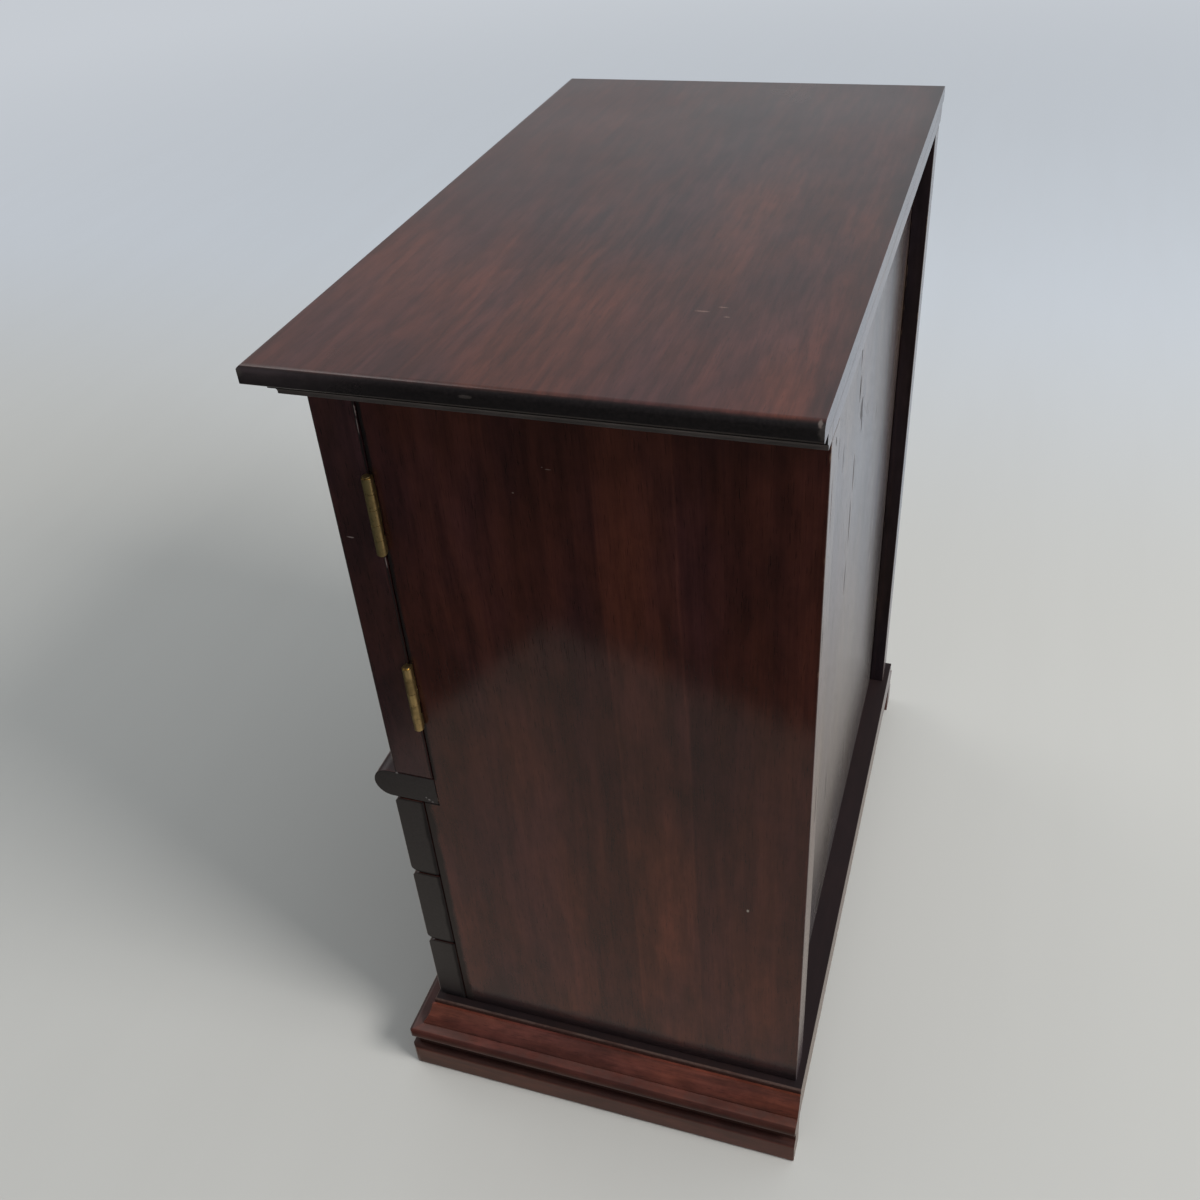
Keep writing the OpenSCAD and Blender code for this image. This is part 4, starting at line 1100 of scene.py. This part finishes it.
screwValues = {
    "headRadius": 1.8, "shankRadius": 1.0, "headDepth": 1.0, "length": 10.0,
    "slotWidth": 0.42, "slotDepth": 0.42, "sink": 0.03, "segments": 28, "headShare": 0.98, "slotReach": 2.4,
    "pointLength": 0.9, "pointShare": 0.12, "smoothUpTo": 35.0,
}


def turnScrew(v):
    # head at the origin and point upward, still without its slot
    bpy.ops.object.select_all(action="DESELECT")
    bpy.ops.mesh.primitive_cone_add(vertices=v["segments"], radius1=v["headRadius"] * v["headShare"] * mm,
                                    radius2=v["shankRadius"] * mm, depth=v["headDepth"] * mm,
                                    location=(0, 0, (v["headDepth"] / 2 + v["sink"]) * mm))
    screw = bpy.context.active_object
    bpy.ops.object.transform_apply(location=True, rotation=True, scale=True)
    pickFaces(screw, lambda poly: poly.normal.z > 0.9)
    bpy.ops.object.mode_set(mode="EDIT")
    bpy.ops.mesh.extrude_region_move(
        TRANSFORM_OT_translate={"value": (0, 0, (v["length"] - 2 * v["headDepth"] - v["sink"]) * mm)})
    bpy.ops.mesh.extrude_region_move(TRANSFORM_OT_translate={"value": (0, 0, v["pointLength"] * mm)})
    bpy.ops.transform.resize(value=(v["pointShare"], v["pointShare"], 1.0), center_override=(0, 0, 0))
    backToObject()
    return screw


def driveScrew(blank, place, inward, slotTurn, v):
    # a slotted copy with its head on the place, running into the wood along inward, which is +Y or -Y
    bpy.ops.object.select_all(action="DESELECT")
    bpy.ops.mesh.primitive_cube_add(size=1.0, location=(0, 0, 0))
    cutter = bpy.context.active_object
    cutter.scale = (v["headRadius"] * v["slotReach"] * mm, v["slotWidth"] * mm, v["slotDepth"] * 2 * mm)
    cutter.rotation_euler = (0, 0, slotTurn)
    bpy.ops.object.transform_apply(location=True, rotation=True, scale=True)
    screw = ownCopy(blank, "leafScrew")
    workOn(screw)
    bpy.ops.object.modifier_add(type="BOOLEAN")
    screw.modifiers[-1].operation = "DIFFERENCE"
    screw.modifiers[-1].object = cutter
    bpy.ops.object.modifier_apply(modifier=screw.modifiers[-1].name)
    bpy.data.objects.remove(cutter)
    screw.rotation_euler = Vector((0, inward, 0)).to_track_quat("Z", "X").to_euler()
    screw.location = place
    workOn(screw)
    bpy.ops.object.transform_apply(location=True, rotation=True, scale=True)
    bpy.ops.object.shade_smooth_by_angle(angle=math.radians(v["smoothUpTo"]))
    return screw


def joinPieces(pieces, name):
    bpy.ops.object.select_all(action="DESELECT")
    for piece in pieces:
        piece.select_set(True)
    bpy.context.view_layer.objects.active = pieces[0]
    bpy.ops.object.join()
    joined = bpy.context.active_object
    joined.name = name
    return joined


hingeValues = {"length": 32.0, "leafWidth": 11.0, "screwSpread": 8.0, "frameGap": 0.5, "mostTurn": 3.0,
               "seed": 5}


def screwPlaces(side):
    # middles of the screws on one side's frame leaves and door leaves, from the boxes of the leaves
    sign = 1 if side == "right" else -1
    v = hingeValues
    low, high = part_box(side + "_side")
    x = sign * (max(abs(low.x), abs(high.x)) - v["leafWidth"] * mm / 2)
    frameLow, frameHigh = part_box(side + "_frame_leaves")
    middles = (frameLow.z + v["length"] * mm / 2, frameHigh.z - v["length"] * mm / 2)
    heights = [m + s * v["screwSpread"] * mm for m in middles for s in (-1, 1)]
    return x, heights


def makeHinges():
    v = hingeValues
    rng = random.Random(v["seed"])
    blank = turnScrew(screwValues)
    frameScrews = []
    for side in ("left", "right"):
        x, heights = screwPlaces(side)
        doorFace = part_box(side + "_door_hinge_stile")[1].y
        frameFace = doorFace + v["frameGap"] * mm
        for z in heights:
            slotTurn = rng.uniform(0, v["mostTurn"])
            frameScrews.append(driveScrew(blank, (x, frameFace, z), 1, slotTurn, screwValues))
        doorScrews = [driveScrew(blank, (x, doorFace, z), -1, rng.uniform(0, v["mostTurn"]), screwValues)
                      for z in heights]
        joined = joinPieces(doorScrews, side + "DoorLeafScrews")
        settle(joined, side + "_door", [side + "_door_leaf_screws"], brass)
        for node, body in ((side + "_frame_leaves", "case"), (side + "_door_leaves", side + "_door")):
            name = side + ("FrameLeaves" if body == "case" else "DoorLeaves")
            dressPiece(node, name, body, brass, 0.14, 0.05)
    joined = joinPieces(frameScrews, "frameLeafScrews")
    settle(joined, "case", ["frame_leaf_screws"], brass)
    dressPiece("hinge_pins", "hingePins", "case", brass, 0.15, 0.05)
    bpy.data.objects.remove(blank)


# Doors

doorValues = {
    "marks": [((150, -63.2, 371.0), (0.5, 0.25, 2.6)), ((150, -63.4, 365.0), (0.5, 0.2, 3.5)),
              ((150, -63.6, 317.0), (0.5, 0.3, 4.0)), ((150, -63.4, 309.0), (0.5, 0.22, 2.5)),
              ((150, -76.0, 318.0), (0.5, 1.6, 0.3)), ((150, -80.5, 252.0), (0.6, 0.5, 1.0))],
    "markTint": (0.26, 0.20, 0.19),
    "joint": [("Y", -63.0, 1.1, 0.9, "Z", 190, 390)],
    "panelRings": 90.0,
}


def makeDoor(side, knobPattern):
    v = doorValues
    sign = 1 if side == "right" else -1
    body = side + "_door"
    upright = solidWood(side + "StileWood", doorLook, "Z", (0.3 * sign, 0.1, 0.2),
                        (dirtAndShadeLines(v["joint"], rougher=0.3), paleMarks(v["marks"], v["markTint"])))
    meeting = solidWood(side + "MeetingStileWood", sideLook, "Z", (0.1 * sign, 0.35, 0.7))
    across = solidWood(side + "RailWood", sideLook, "X", (0.2, 0.15 * sign, 0.4))
    panelLook = dict(sideLook, rings=v["panelRings"])
    panel = solidWood(side + "PanelWood", panelLook, "Z", (0.06 * sign, 0.02, 0.1))
    dressPiece(body + "_hinge_stile", side + "DoorHingeStile", body, upright, 0.3, 3.0)
    dressPiece(body + "_meeting_stile", side + "DoorMeetingStile", body, meeting, 0.3, 3.0)
    dressPiece(body + "_top_rail", side + "DoorTopRail", body, across, 0.3, 3.0)
    dressPiece(body + "_bottom_rail", side + "DoorBottomRail", body, across, 0.3, 3.0)
    dressPiece(body + "_panel", side + "DoorPanel", body, panel, 0.25, 3.0)
    dressPiece(body + "_strike", side + "DoorStrike", body, steel, 0.15, 0.5)
    low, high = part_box(body + "_meeting_stile")
    knob = copyTo(knobPattern, side + "DoorKnob", ((low.x + high.x) / 2, low.y, (low.z + high.z) / 2))
    settle(knob, body, [body + "_knob"], brass)


# Drawers

frontValues = {
    "rearRound": 1.2, "rearSegments": 3, "arris": 0.3, "near": 0.05, "shortestAcross": 5.0,
    "shortestUpright": 25.0, "rear": -69.8, "rimFrom": -84.0, "rimTo": -69.0, "rearShade": (2.4, 0.95),
    "topShade": (1.5, 0.9), "lowShade": (1.2, 0.9), "rimTint": (0.0045, 0.0025, 0.0028),
}


def makeDrawerFront(node, name, body, material):
    # the outer arrises of the rear face are rounded over, then the rest are softened as on the other boards
    v = frontValues
    obj = copyOfNode(node, name)
    low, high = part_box(node)
    near = v["near"] * mm

    def atRim(point):
        sideways = abs(abs(point.x) - high.x) < near
        upDown = min(point.z - low.z, high.z - point.z) < near
        return abs(point.y - high.y) < near and (sideways or upDown)

    def onRim(edge):
        a, b = (obj.data.vertices[i].co for i in edge.vertices)
        across = abs(a.x - b.x) > v["shortestAcross"] * mm and abs(a.z - b.z) < near
        upright = abs(a.z - b.z) > v["shortestUpright"] * mm and abs(a.x - b.x) < near
        return atRim(a) and atRim(b) and (across or upright)

    pickEdges(obj, onRim)
    workOn(obj)
    bpy.ops.object.mode_set(mode="EDIT")
    bpy.ops.mesh.bevel(offset=v["rearRound"] * mm, segments=v["rearSegments"], profile=0.5, affect="EDGES",
                       clamp_overlap=True)
    backToObject()
    roundArrises(obj, v["arris"], 2.0)
    smoothFaces(obj)
    settle(obj, body, [node], material)


def makeDrawer(level, number, knobPattern, feltPattern):
    v = frontValues
    body = level + "_drawer"
    low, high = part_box(body + "_front")
    top, bottom = high.z / mm, low.z / mm
    # painted shade: dark bands along the front's rounded rear arris and along its top and bottom edges, for
    # the shade in the gaps
    rim = [("Y", v["rear"], *v["rearShade"], "Z", bottom - 1, top + 1),
           ("Z", top, *v["topShade"], "Y", v["rimFrom"], v["rimTo"]),
           ("Z", bottom, *v["lowShade"], "Y", v["rimFrom"], v["rimTo"])]
    frontWood = solidWood(level + "FrontWood", endLook, "X", (0.15 * number, 0.2 * number, 0.3 * number),
                          (dirtAndShadeLines(rim, v["rimTint"], 0.35),))
    boxWood = solidWood(level + "DrawerSideWood", innerLook, "Y", (0.3 * number, 0.1, 0.2 * number))
    backWood = solidWood(level + "DrawerBackWood", innerLook, "X", (0.1, 0.3 * number, 0.1))
    makeDrawerFront(body + "_front", level + "DrawerFront", body, frontWood)
    for side in ("left", "right"):
        dressPiece(body + "_" + side + "_side", level + "Drawer" + side.title() + "Side", body,
                  boxWood, 0.25, 2.0)
    dressPiece(body + "_back", level + "DrawerBack", body, backWood, 0.25, 2.0)
    dressPiece(body + "_bottom", level + "DrawerBottom", body, backWood, 0.2, 3.0)
    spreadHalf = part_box(body + "_knobs")[1].x - knobValues["widest"] * mm
    knobs = [copyTo(knobPattern, level + "Knob", (sign * spreadHalf, low.y, (low.z + high.z) / 2))
             for sign in (-1, 1)]
    settle(joinPieces(knobs, level + "DrawerKnobs"), body, [body + "_knobs"], brass)
    low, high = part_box(body + "_lining")
    lining = copyTo(feltPattern, level + "DrawerFelt", (0, 0, low.z))
    settle(lining, body, [body + "_lining"], felt)


# Felt laid on a drawer's bottom, its cut edge a little soft. One is cut, at height 0, for all three

liningValues = {
    "cuts": 36, "puff": 0.22, "softEdge": 4.0, "seed": 11, "waves": 5, "waveRange": (20, 70), "mostPhase": 6,
    "sink": 1.5, "softShare": 0.9, "waveShare": 0.5, "sameLevel": 0.001, "smoothUpTo": 50.0,
}


def cutLining(v):
    low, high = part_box("top_drawer_lining")
    size = high - low
    middle = (low + high) / 2
    bpy.ops.object.select_all(action="DESELECT")
    bpy.ops.mesh.primitive_cube_add(size=1.0, location=(middle.x, middle.y, size.z / 2))
    lining = bpy.context.active_object
    lining.scale = size
    bpy.ops.object.transform_apply(location=True, rotation=True, scale=True)

    def isLevel(edge):
        a, b = (lining.data.vertices[i].co for i in edge.vertices)
        return abs(a.z - b.z) < v["sameLevel"] * mm

    pickEdges(lining, isLevel)
    workOn(lining)
    bpy.ops.object.mode_set(mode="EDIT")
    bpy.ops.mesh.subdivide(number_cuts=v["cuts"])
    backToObject()
    rng = random.Random(v["seed"])
    waves = [(rng.uniform(*v["waveRange"]), rng.uniform(*v["waveRange"]), rng.uniform(0, v["mostPhase"]))
             for _ in range(v["waves"])]
    for vert in lining.data.vertices:
        if vert.co.z > size.z / 2:
            edge = min(vert.co.x - low.x, high.x - vert.co.x, vert.co.y - low.y, high.y - vert.co.y)
            soft = 1.0 - max(0.0, 1.0 - edge / (v["softEdge"] * mm)) ** 2
            lift = sum(math.sin(a * vert.co.x + b * vert.co.y + c) for a, b, c in waves) / len(waves)
            drop = v["sink"] - v["softShare"] * soft - v["waveShare"] * lift
            vert.co.z = size.z - v["puff"] * mm * drop
    smoothFaces(lining, v["smoothUpTo"])
    return lining


makeTop()
print("top made")
makeCase()
print("case made")
makeBase()
print("base made")
makeHinges()
dressPiece("magnetic_catch", "magneticCatch", "case", steel, 0.4, 1.0)
print("hinges and catch made")
knobTurned = turnKnob(knobValues)
for doorSide in ("left", "right"):
    makeDoor(doorSide, knobTurned)
print("doors hung")
feltCut = cutLining(liningValues)
for place, drawerLevel in enumerate(("top", "middle", "bottom")):
    makeDrawer(drawerLevel, place + 1, knobTurned, feltCut)
for pattern in (knobTurned, feltCut):
    bpy.data.objects.remove(pattern)
print("drawers made")
